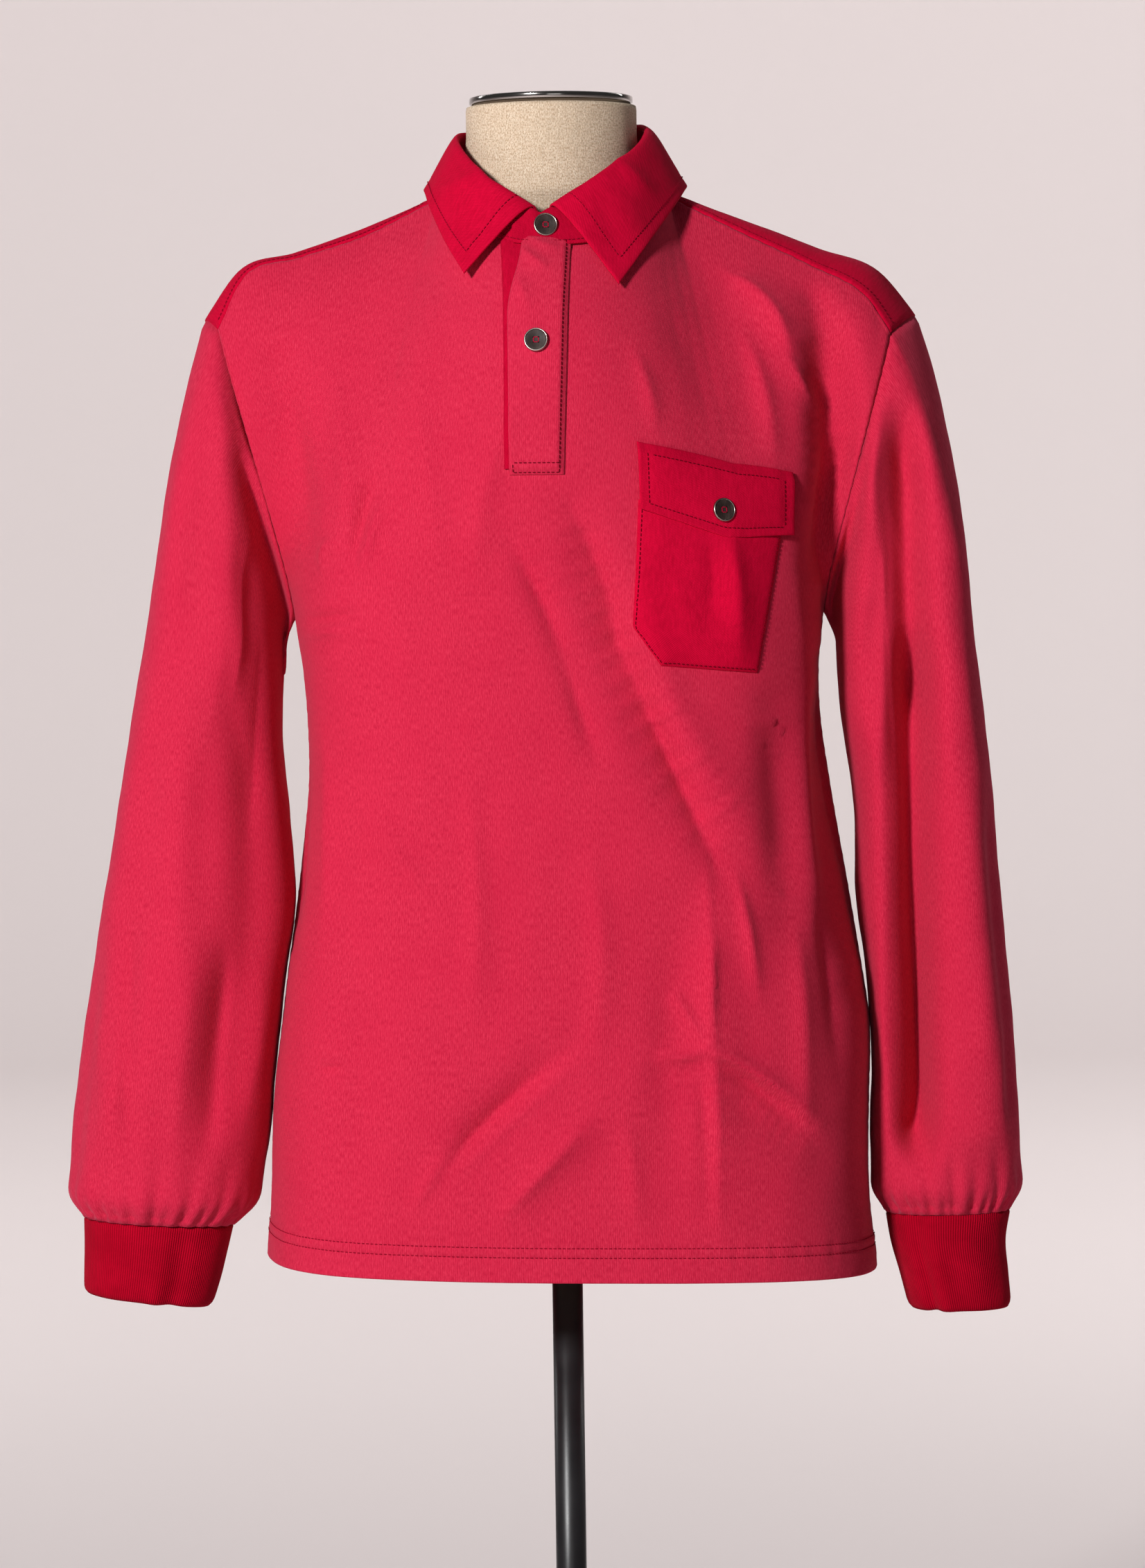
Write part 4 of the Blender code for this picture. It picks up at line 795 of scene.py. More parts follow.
def sleeve_ring(table, sign, turns, z):
    """Points round a sleeve or cuff at the given angles and heights."""
    inner, outer, front, back = np.moveaxis(read_table(table, z), -1, 0)
    wide = (outer - inner) / 2 * np.cos(turns) * (1 + SLEEVE_SQUARENESS * np.sin(turns) ** 2)
    depth = np.where(np.sin(turns) > 0, -front, back)
    y = -depth * np.sin(turns) * (1 + SLEEVE_SQUARENESS * np.cos(turns) ** 2)
    return joined(sign * ((outer + inner) / 2 + wide), y, z)


def sleeve_fold(folds, turns, z):
    """Long folds down a sleeve, by angle round it."""
    total = np.zeros(turns.shape)
    for angle, width, depth, top, bottom in folds:
        away = (np.degrees(turns) - angle + 180) % 360 - 180
        fade = ease(top - z, 0.0, 0.08) * ease(z - bottom, 0.0, 0.05)
        total += depth * fade * np.exp(-((away / width) ** 2))
    return total


def roll_line(turn):
    """Fold of the collar, by the angle from the front middle, negative to the left."""
    across = np.sin(np.radians(turn))
    ahead = np.cos(np.radians(turn))
    x = ROLL_HALF_WIDTH * across - ROLL_FRONT_SHIFT * np.maximum(ahead, 0) ** 3
    y = ROLL_CENTRE_Y - ROLL_REACH * ahead
    rise = np.where(ahead > 0, ROLL_SIDE_RISE * np.abs(across) ** 1.1, ROLL_SIDE_RISE)
    back_rise = np.where(ahead < 0, ROLL_BACK_RISE * (1 - np.abs(across)), 0)
    return joined(x, y, ROLL_FRONT_Z + rise + back_rise + ROLL_TILT * across)


def neck_at(turn):
    """Neckline by the angle from the front middle, negative to the left."""
    across = np.sin(np.radians(turn))
    ahead = np.cos(np.radians(turn))
    reach = np.where(ahead > 0, NECK_FRONT_REACH, NECK_BACK_REACH)
    rise = np.where(ahead > 0, -NECK_FRONT_DROP * ahead, -NECK_BACK_RISE * ahead)
    return joined(NECK_HALF_WIDTH * across, NECK_CENTRE_Y - reach * ahead, NECK_SIDE_Z + rise)


def stand_surface(turn, w):
    """Collar stand from just above the neckline (w 0) to the fold (w 1)."""
    foot = neck_at(turn)
    ahead = np.cos(np.radians(turn))
    top = roll_line(turn) - joined(0 * turn, 0, STAND_FRONT_DROP * ease(ahead, 0.5, 0.95))
    up = unit(top - foot)
    foot = foot + up * 2 * SEAM_GAP
    return foot + (top - foot) * np.asarray(w)[..., None]


def leaf_edge(turn):
    left = read_table(LEAF_EDGE_LEFT, np.abs(turn))
    right = read_table(LEAF_EDGE_RIGHT, np.abs(turn))
    return np.where((turn > 0)[..., None], right, left)


def leaf_surface(turn, w):
    """Collar leaf from the fold (w 0) out and down to its edge (w 1)."""
    fold = roll_line(turn)
    fold = fold + joined(0 * turn, 0, LEAF_LIFT)
    edge = leaf_edge(turn)
    out = unit(joined(fold[..., 0], fold[..., 1] - ROLL_CENTRE_Y, 0 * turn))
    fall = edge - fold
    length = np.linalg.norm(fall, axis=-1, keepdims=True)
    swing = LEAF_SWING + (LEAF_SWING_LEFT - LEAF_SWING) * ease(-turn, 30.0, 75.0)
    leave = unit(out + joined(0 * turn, 0, 0.25)) * length * swing[..., None]
    return hermite(fold, edge, leave, fall * 1.15, np.asarray(w)[..., None])


def strip(left_x, right_x, rows_z, columns):
    """Grid of a strip with its own left and right edge at each height, its top along the neckline."""
    share = np.linspace(0, 1, columns)
    x = left_x[:, None] * (1 - share) + right_x[:, None] * share
    neck_z = NECK_SIDE_Z - NECK_FRONT_DROP * np.sqrt(1 - (x / NECK_HALF_WIDTH) ** 2) - PLACKET_NECK_GAP
    up = (rows_z[:, None] - rows_z[0]) / (rows_z[-1] - rows_z[0])
    return x, rows_z[0] + (neck_z - rows_z[0]) * up


def placket_edges(z):
    """Left and right edge of the upper placket strip."""
    left = PLACKET_LEFT_X + PLACKET_CURVE * ease(z, PLACKET_CURVE_Z, PLACKET_TOP_Z)
    share = (z - PLACKET_BOTTOM_Z) / (PLACKET_TOP_Z - PLACKET_BOTTOM_Z)
    right = PLACKET_RIGHT_BOTTOM_X + (PLACKET_RIGHT_TOP_X - PLACKET_RIGHT_BOTTOM_X) * share
    return left, right


def creases(table, x, z):
    """Sum of the finer creases at a place: like the folds, but each with its own sharpness."""
    total = np.zeros(np.shape(x))
    for *arc, width, depth, sharp in table:
        near = (np.abs(x - arc[2]) < 0.12) & (np.abs(z - arc[3]) < 0.20)
        if near.any():
            away, t = nearest_on_arc(x[near], z[near], arc, 73)
            fade = np.sin(pi * np.clip(t, 0.05, 0.95)) ** 0.8
            profile = np.exp(-((np.sqrt(away) / (width * (0.8 + 0.6 * t))) ** sharp))
            total[near] += CREASE_STRENGTH * depth * fade * profile
    return total


def ripple(a, b):
    """Faint unevenness of hanging cloth, from a few sines of unlike length."""
    return (
        0.00045 * np.sin(31 * a + 17 * b + 0.4) * np.sin(23 * b - 9 * a + 1.1)
        + 0.00030 * np.sin(67 * a - 38 * b + 2.0) * np.sin(49 * b + 21 * a)
        + 0.00016 * np.sin(151 * a + 83 * b) * np.sin(127 * b - 60 * a + 0.7)
    )


def seam_pucker(away, along, reach=0.009):
    """Small needle puckers beside a seam, by the distance from it and the place along it."""
    wave = np.sin(2 * pi * along / 0.0105) + 0.5 * np.sin(2 * pi * along / 0.0067 + 1.3)
    return 0.00028 * wave * np.exp(-away / reach) + 0.0006 * np.exp(-((away - 0.0022) / 0.0016) ** 2)


def evened(side, s, v):
    """Takes the kink that the shoulder's corner leaves down the panel out of it."""
    weight = ease(2 - v, 0.0, 0.25) * ease(1 - np.abs(s), 0.0, 0.18)
    total = 0.0
    shares = ((-0.15, 1), (-0.10, 2), (-0.05, 3), (0.0, 4), (0.05, 3), (0.10, 2), (0.15, 1))
    for shift, share in shares:
        total = total + plain_panel(side, np.clip(s + shift, -1, 1), v) * share / 16
    return (total - plain_panel(side, s, v)) * weight[..., None]


def fine_panel(side, s, v):
    """The front or back with its folds and creases."""
    s = np.asarray(s, float)
    v = np.asarray(v, float)
    base = panel(side, s, v) + evened(side, s, v)
    normal = -side * normals_of(lambda a, b: plain_panel(side, a, b), s, v)
    x, z = base[..., 0], base[..., 2]
    calm = ease(1 - np.abs(s), 0.0, 0.06) * ease(2 - v, 0.0, 0.14)
    table = FRONT_CREASES if side == FRONT else BACK_CREASES
    depth = (creases(table, x, z) + ripple(x, z)) * calm
    at_top = (2 - v) * 0.26
    at_side = (1 - np.abs(s)) * 0.30
    depth = depth + np.where(np.abs(s) > NECK_SHARE, seam_pucker(at_top, x), 0) * ease(v, 1.2, 1.6)
    depth = depth + seam_pucker(at_side, z) * 0.6
    above_hem = z - HEM_Z + HEM_SLANT * s
    depth = depth + 0.0005 * ease(0.0250 - above_hem, 0, 0.002)
    for row in HEM_ROWS:
        depth = depth - 0.0005 * np.exp(-(((above_hem - row) / 0.0011) ** 2))
    hem_wave = np.sin(2 * pi * x / 0.013) + 0.7 * np.sin(2 * pi * x / 0.0083 + 0.9)
    depth = depth + 0.00022 * hem_wave * np.exp(-(((above_hem - 0.020) / 0.009) ** 2))
    return base + normal * depth[..., None]


def front_place(x, z):
    """Panel place, s and v, of the point of the front seen at x and z."""
    s = x / 0.21
    v = np.where(z < ARMPIT_Z, (z - HEM_Z) / (ARMPIT_Z - HEM_Z), 1 + (z - ARMPIT_Z) / 0.25)
    step = 1e-3
    for _ in range(9):
        here = panel(FRONT, s, v)
        by_s = (panel(FRONT, s + step, v) - here) / step
        by_v = (panel(FRONT, s, v + step) - here) / step
        miss_x = x - here[..., 0]
        miss_z = z - here[..., 2]
        area = by_s[..., 0] * by_v[..., 2] - by_s[..., 2] * by_v[..., 0]
        s = s + (miss_x * by_v[..., 2] - miss_z * by_v[..., 0]) / area
        v = v + (miss_z * by_s[..., 0] - miss_x * by_s[..., 2]) / area
    return s, v


def fine_front_at(x, z):
    """Point and outward normal of the creased front where it is seen at x and z."""
    s, v = front_place(x, z)
    normal = normals_of(lambda a, b: panel(FRONT, a, b), s, v, step=4e-3)
    return fine_panel(FRONT, s, v), normal


def flat_lengths(grid, axis):
    """Running length along one axis of a grid, averaged over the other, for the cloth's flat pattern."""
    steps = np.linalg.norm(np.diff(grid, axis=axis), axis=-1)
    mean = steps.mean(axis=1 - axis)
    return np.concatenate([[0], np.cumsum(mean)])


def shell(name, outer, thickness, finish, closed=False, normals=None, rounded=0.0004):
    """Thin closed cloth wall behind the outer points, with its flat pattern kept as texture places."""
    if normals is None:
        normals = grid_normals(outer, closed)
    rows, columns = outer.shape[:2]
    flat_x, flat_y = np.meshgrid(flat_lengths(outer, 1), flat_lengths(outer, 0))
    inner = outer - normals * thickness
    sunk = np.zeros((rows, columns, 1))
    sunk[0] = sunk[-1] = rounded
    if not closed:
        sunk[:, 0] = sunk[:, -1] = rounded
    outer = outer - normals * sunk
    points = np.concatenate([outer.reshape(-1, 3), inner.reshape(-1, 3)])
    behind = rows * columns
    index = np.arange(behind).reshape(rows, columns)
    following = np.roll(index, -1, axis=1)
    last = columns if closed else columns - 1
    a, b = index[:-1, :last], following[:-1, :last]
    c, d = following[1:, :last], index[1:, :last]
    front = np.stack([a, b, c, d], axis=-1).reshape(-1, 4)
    back = np.stack([d, c, b, a], axis=-1).reshape(-1, 4) + behind
    ends = [(following[0, :last], index[0, :last]), (index[-1, :last], following[-1, :last])]
    if not closed:
        ends += [(index[:-1, 0], index[1:, 0]), (index[1:, -1], index[:-1, -1])]
    rims = [np.stack([p, q, q + behind, p + behind], axis=-1) for p, q in ends]
    places = np.stack([flat_x.ravel(), flat_y.ravel()], axis=-1)
    places = np.concatenate([places, places])
    faces = np.concatenate([front, back] + rims)
    return mesh_piece(name, points, faces, finish, places, columns if closed else 0)


def mesh_piece(name, points, faces, finish, places=None, wrapped=0):
    """Smooth mesh object from arrays of points and faces; wrapped is the number of columns of a closed one."""
    mesh = bpy.data.meshes.new(name)
    mesh.from_pydata(points.tolist(), [], faces.tolist())
    mesh.materials.append(finish)
    mesh.shade_smooth()
    if places is not None:
        layer = mesh.uv_layers.new(name="cloth")
        corners = np.empty(len(mesh.loops), dtype=np.int32)
        mesh.loops.foreach_get("vertex_index", corners)
        spots = places[corners]
        if wrapped:
            column = (corners % wrapped).reshape(-1, 4)
            across = (column == 0) & (column == wrapped - 1).any(axis=1, keepdims=True)
            step = places[1, 0] - places[0, 0]
            spots[across.ravel(), 0] = places[wrapped - 1, 0] + step
        layer.uv.foreach_set("vector", spots.astype(np.float32).ravel())
    thing = bpy.data.objects.new(name, mesh)
    bpy.context.scene.collection.objects.link(thing)
    return thing


def declare(piece, nodes):
    """Rides on the root body and replaces the named parts of the model."""
    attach(piece, "root")
    if nodes:
        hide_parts(*nodes)


def sew(name, grid, cloth, node, slot, flat, held, rests_on, stitches=None, digits=4, **shape):
    """One cut piece: its shell, then its stitches, both declared; cloth is thickness and finish."""
    outer, normals = grid
    piece = shell(name, outer, *cloth, normals=normals, **shape)
    rows = []
    if stitches:
        rows = [stitch_piece(*stitches)]
        declare(rows[0], [])
    declare(piece, [node])


def shoulder_columns():
    """Column places of the panels, closer together at the side seams."""
    even = np.linspace(0, 1, SHOULDER_STEPS + 1)[:-1]
    left = -1 + (1 - NECK_SHARE) * even
    neck = np.linspace(-NECK_SHARE, NECK_SHARE, NECK_STEPS + 1)
    return np.concatenate([left, neck, -left[::-1]])


def panel_rows(upper_steps):
    lower = np.linspace(0, 1, LOWER_STEPS + 1)[:-1]
    above = np.array([0.0155, 0.0170, 0.0185, 0.0220, 0.0235, 0.0250]) / (ARMPIT_Z - HEM_Z)
    lower = np.sort(np.concatenate([[0.002, 0.005], above, lower]))
    lower = lower[np.append(True, np.diff(lower) > 0.001)]
    upper = np.linspace(1, 2, upper_steps + 1)
    return np.concatenate([lower, upper])


def panel_grid(side):
    """Outer points and normals of the front or back."""
    columns = shoulder_columns()
    s, v = np.meshgrid(columns[:: int(-side)], panel_rows(FRONT_STEPS if side == FRONT else BACK_STEPS))
    outer = fine_panel(side, s, v)
    normals = panel_normals(side, s, v)
    at_yoke = (np.abs(s[-1]) >= NECK_SHARE) | (side == BACK)
    normals[-1][at_yoke] = seam_normals(side, s[-1])[at_yoke]
    part_panel(outer)
    return outer, normals


def hem_lines(side):
    """The two stitched rows over a panel's lower edge."""
    s = np.linspace(-0.995, 0.995, 500)
    lines = []
    for row in HEM_ROWS:
        v = row / (ARMPIT_Z - HEM_Z + HEM_SLANT * s)
        lines.append((fine_panel(side, s, v), panel_normals(side, s, v)))
    return lines


def yoke_grid():
    s, t = np.meshgrid(shoulder_columns(), np.linspace(0, 1, YOKE_STEPS + 1))
    outer = yoke(s, t)
    normals = yoke_normals(s, t)
    seam = np.minimum(t, 1 - t) * 0.13
    pucker = seam_pucker(seam, outer[..., 0]) * 0.6
    lift = pucker + ripple(outer[..., 0], outer[..., 1]) * 0.6 * ease(seam, 0, 0.01)
    outer = outer + normals * lift[..., None]
    at_front = np.abs(s[0]) >= NECK_SHARE
    normals[0][at_front] = seam_normals(FRONT, s[0])[at_front]
    normals[-1] = seam_normals(BACK, s[-1])
    outer[0] = parted(outer[0], outer[1])
    part_panel(outer)
    return outer, normals


def yoke_lines():
    """Stitched rows of the yoke, one beside each of its seams."""
    beside = np.linspace(NECK_SHARE + 0.02, 0.99, 160)
    lines = []
    for s, share in ((-beside, 0.035), (beside, 0.035), (np.linspace(-0.99, 0.99, 420), 0.965)):
        t = np.full(s.shape, share)
        normals = yoke_normals(s, t)
        lines.append((yoke(s, t) + normals * 0.0004, normals))
    return lines


def armhole(sign):
    """Points and panel normals round an armhole: top of the shoulder, front, armpit, back."""
    yoke_t = np.linspace(0, 1, YOKE_STEPS + 1)
    end = np.full(yoke_t.shape, sign)
    over = yoke(end, yoke_t)
    over_normals = yoke_normals(end, yoke_t)
    over_normals[-1] = seam_normals(BACK, end[:1])
    sides = []
    for side, w in ((FRONT, np.linspace(1, 0, FRONT_STEPS + 1)), (BACK, np.linspace(0, 1, BACK_STEPS + 1))):
        w = w[:-1]
        s = np.full(w.shape, sign)
        sides.append((upper_panel(side, s, w), panel_normals(side, s, 1 + w)))
    (front, front_normals), (back, back_normals) = sides
    front_normals[0] = seam_normals(FRONT, end[:1])
    top = YOKE_TOP_STEP
    points = np.concatenate([over[top:0:-1], front, back, over[:top:-1]])
    return points, np.concatenate([over_normals[top:0:-1], front_normals, back_normals, over_normals[:top:-1]])


def armhole_turns():
    """Angle round the sleeve of each armhole point: 0 outside, 90 in front, 180 inside, 270 behind."""
    marks = (0, YOKE_TURN_FRONT, 180, YOKE_TURN_BACK, 360)
    steps = (YOKE_TOP_STEP, FRONT_STEPS, BACK_STEPS, YOKE_STEPS - YOKE_TOP_STEP)
    parts = [np.linspace(a, b, n + 1)[:-1] for a, b, n in zip(marks, marks[1:], steps)]
    return np.radians(np.concatenate(parts))


def sleeve_creases(table, turns, z):
    """Finer creases of a sleeve, each a line between two places given by angle and height."""
    total = np.zeros(turns.shape)
    around = np.degrees(turns) * 0.00082
    for angle1, z1, angle2, z2, width, depth, sharp in table:
        start = np.array([angle1 * 0.00082, z1])
        way = np.array([angle2 * 0.00082, z2]) - start
        share = ((around - start[0]) * way[0] + (z - start[1]) * way[1]) / (way @ way)
        share = np.clip(share, 0, 1)
        bow = 0.006 * np.sin(pi * share)
        away = np.hypot(around - start[0] - way[0] * share - bow, z - start[1] - way[1] * share)
        fade = np.sin(pi * np.clip(share, 0.05, 0.95)) ** 0.8
        total += depth * fade * np.exp(-((away / width) ** sharp))
    return total


def sleeve_forms(table, points, turns):
    """How far the sleeve's front reaches forward beyond its plain ring, by the place seen from the front."""
    x, z = points[..., 0], points[..., 2]
    total = np.zeros(x.shape)
    for x1, z1, x2, z2, width, forward in table:
        share = np.clip((z1 - z) / (z1 - z2), 0, 1)
        fade = ease(z1 + 0.03 - z, 0, 0.06) * ease(z - z2 + 0.03, 0, 0.06)
        total += forward * fade * np.exp(-(((x - x1 - (x2 - x1) * share) / width) ** 2))
    return total * ease(np.sin(turns), 0.0, 0.22)


def gathers_at(turns, z, seam_z):
    """Uneven gathers that run up from the cuff seam."""
    total = np.zeros(turns.shape)
    degrees = np.degrees(turns)
    for angle, width, depth, height in GATHERS:
        lean = (z - seam_z) * 60 * np.sin(angle)
        away = (degrees - angle - lean + 180) % 360 - 180
        rise = (z - seam_z) / height
        fade = np.clip(1 - rise, 0, 1) ** 1.3 * ease(z - seam_z, -0.002, 0.004)
        spread = width * (1 + 1.4 * np.clip(rise, 0, 1))
        total += GATHER_STRENGTH * depth * fade * np.exp(-((away / spread) ** 2))
    puff = 0.0030 * np.exp(-(((z - seam_z - 0.014) / 0.011) ** 2))
    return total + puff


def sleeve_cap(sign, table, turns, hole):
    """Curved head of a sleeve, from the armhole down to its first plain ring."""
    slope_top, slope_end = CAP_SLOPES[sign]
    ring = sleeve_ring(table, sign, turns, np.full(turns.shape, CAP_END_Z))
    length = np.linalg.norm(ring - hole, axis=-1, keepdims=True)
    above = np.maximum(np.cos(turns), 0)[:, None]
    beside = np.abs(np.sin(turns))[:, None]
    below = np.maximum(-np.cos(turns), 0)[:, None]
    forward = -np.sign(np.sin(turns))
    out = np.full(turns.shape, sign)
    leave = (
        above * joined(slope_top * out, 0, CAP_TOP_FALL)
        + beside * joined(CAP_BESIDE[0] * out, CAP_BESIDE[1] * forward, CAP_BESIDE[2])
        + below * joined(CAP_BELOW[0] * out, CAP_BELOW[1], CAP_BELOW[2])
    ) * length
    arrive = joined(above[:, 0] * slope_end * out, 0, -1.0) * length
    return hermite(hole, ring, leave, arrive, np.linspace(0, 1, CAP_STEPS + 1)[:, None, None])


def sleeve(sign):
    """Outer points and normals of a sleeve from the armhole down to the cuff seam."""
    table, folds, finer, forms, cuff = SLEEVES[sign]
    turns = armhole_turns()
    hole, hole_normals = armhole(sign)
    cap = sleeve_cap(sign, table, turns, hole)
    seam_z, drop = cuff[-1][0], cuff[-1][5]
    z = CAP_END_Z + (seam_z - CAP_END_Z) * np.linspace(0, 1, SLEEVE_STEPS + 1)[1:] ** 0.92
    around, down = np.meshgrid(turns, z)
    lower = sleeve_ring(table, sign, around, down)
    lower[..., 2] -= drop * (1 - np.cos(around)) / 2 * ease(seam_z + SLANT_HEIGHT - down, 0, SLANT_HEIGHT)
    outer = np.concatenate([cap, lower])
    normals = sign * grid_normals(outer, True)
    around = np.broadcast_to(turns, outer.shape[:2])
    height = outer[..., 2]
    level = np.concatenate([cap[..., 2], down])
    from_seam = np.linalg.norm(outer - hole, axis=-1)
    run = np.cumsum(np.linalg.norm(np.roll(hole, -1, axis=0) - hole, axis=-1))
    run = np.broadcast_to(run, from_seam.shape)

    shift = sleeve_fold(folds, around, height) + sleeve_creases(finer, around, height)
    shift = shift + ripple(around * 0.045, height)
    shift = shift * ease(hole[:, 2] - height, 0.004, 0.045) + gathers_at(around, level, seam_z)
    shift = shift + seam_pucker(from_seam, run) * ease(from_seam, 0, 0.0015)
    ahead = np.maximum(np.sin(around), 0)
    flat_side = (ahead ** SLEEVE_FLATNESS[sign] - ahead) * (np.cos(around) > 0) * FLAT_SIDE_REACH
    flat_side = flat_side * ease(FLAT_SIDE_TOP_Z - height, 0.0, 0.09)
    forward = (sleeve_forms(forms, outer, around) + flat_side) * ease(from_seam, 0.001, 0.014)
    outer = outer + normals * shift[..., None]
    outer[..., 1] -= forward * ease(level - seam_z, 0.01, 0.06)
    outer[0] = outer[0] - unit(outer[1] - outer[0]) * SEAM_TUCK_UP - hole_normals * SEAM_TUCK_UNDER
    normals = sign * grid_normals(outer, True)
    share = ease(np.cos(turns), -0.2, 0.5)[:, None]
    normals[0] = unit(normals[0] * (1 - share) + hole_normals * share)
    return outer, normals


def cuff_grid(sign):
    """Rib cuff with its turned lower edge and the soft dent that shows."""
    table = np.array(SLEEVES[sign][-1])
    turns = armhole_turns()
    z = np.linspace(table[-1, 0] - SEAM_GAP, table[0, 0], CUFF_STEPS)
    around, down = np.meshgrid(turns, z)
    outer = sleeve_ring(table[:, :5], sign, around, down)
    drop = read_table(table[:, [0, 5]], down)[..., 0]
    outer[..., 2] -= drop * (1 - np.cos(around)) / 2
    normals = sign * grid_normals(outer, True)
    degrees = np.degrees(around)
    share = (table[-1, 0] - down) / (table[-1, 0] - table[0, 0])
    shift = -0.0012 * np.exp(-(((1 - share) / 0.05) ** 2))
    for angle, width, depth in CUFF_DENTS[sign]:
        away = (degrees - angle + 180) % 360 - 180
        shift = shift + depth * np.exp(-((away / width) ** 2)) * (0.35 + 0.65 * share)
    return outer + normals * shift[..., None]


def tube_rings(name, starts, ends, normals, radius, finish):
    """Many short threads as one mesh: each runs from its start to its end, thickest in the middle."""
    starts, ends, normals = np.asarray(starts), np.asarray(ends), np.asarray(normals)
    way = unit(ends - starts)
    side = unit(np.cross(way, normals))
    up = np.cross(side, way)
    shares = np.array([0.0, 0.14, 0.5, 0.86, 1.0])
    thick = np.array([0.25, 0.85, 1.0, 0.85, 0.25])
    dips = np.array([-0.7, 0.0, 0.35, 0.0, -0.7])
    angle = np.linspace(0, 2 * pi, 6, endpoint=False)
    rings = []
    for share, size, dip in zip(shares, thick, dips):
        middle = starts + (ends - starts) * share + up * radius * (0.25 + dip)
        offsets = side[:, None] * np.cos(angle)[None, :, None] + up[:, None] * np.sin(angle)[None, :, None]
        rings.append(middle[:, None] + offsets * radius * size)
    points = np.stack(rings, axis=1).reshape(-1, 3)
    one = []
    for r in range(4):
        for k in range(6):
            n = (k + 1) % 6
            one.append((r * 6 + k, r * 6 + n, r * 6 + 6 + n, r * 6 + 6 + k))
    one = np.array(one)
    faces = (one[None] + np.arange(len(starts))[:, None, None] * 30).reshape(-1, 4)
    return mesh_piece(name, points, faces, finish)


def along_line(points, normals):
    """Starts, ends and normals of the stitches along a line."""
    run = np.concatenate([[0], np.cumsum(np.linalg.norm(np.diff(points, axis=0), axis=-1))])
    count = int(run[-1] / STITCH_PITCH)
    at = np.arange(count) * STITCH_PITCH + (run[-1] - count * STITCH_PITCH) / 2

    def read(where, values):
        return np.stack([np.interp(where, run, values[:, k]) for k in range(3)], axis=-1)

    return read(at, points), read(at + STITCH_LENGTH, points), unit(read(at + STITCH_LENGTH / 2, normals))


def stitch_piece(name, lines, finish):
    """Every stitch of a piece as one mesh."""
    parts = [along_line(points + normals * STITCH_LIFT, normals) for points, normals in lines]
    return tube_rings(name, *(np.concatenate(part) for part in zip(*parts)), STITCH_RADIUS, finish)


def lathe(name, profile, finish, place=(0, 0, 0), facing=(0, 0, 1), turns=64):
    """Body of revolution from a profile that runs down its outer side."""
    mesh = bpy.data.meshes.new(name)
    mesh.from_pydata([(r, 0, z) for r, z in profile], [(i, i + 1) for i in range(len(profile) - 1)], [])
    mesh.materials.append(finish)
    thing = bpy.data.objects.new(name, mesh)
    bpy.context.scene.collection.objects.link(thing)
    screw = thing.modifiers.new("turn", "SCREW")
    screw.steps = turns
    screw.render_steps = turns
    screw.use_merge_vertices = True
    screw.merge_threshold = 0.00001
    screw.use_smooth_shade = True
    thing.location = place
    thing.rotation_mode = "QUATERNION"
    thing.rotation_quaternion = mathutils.Vector(facing).to_track_quat("Z", "Y")
    return thing


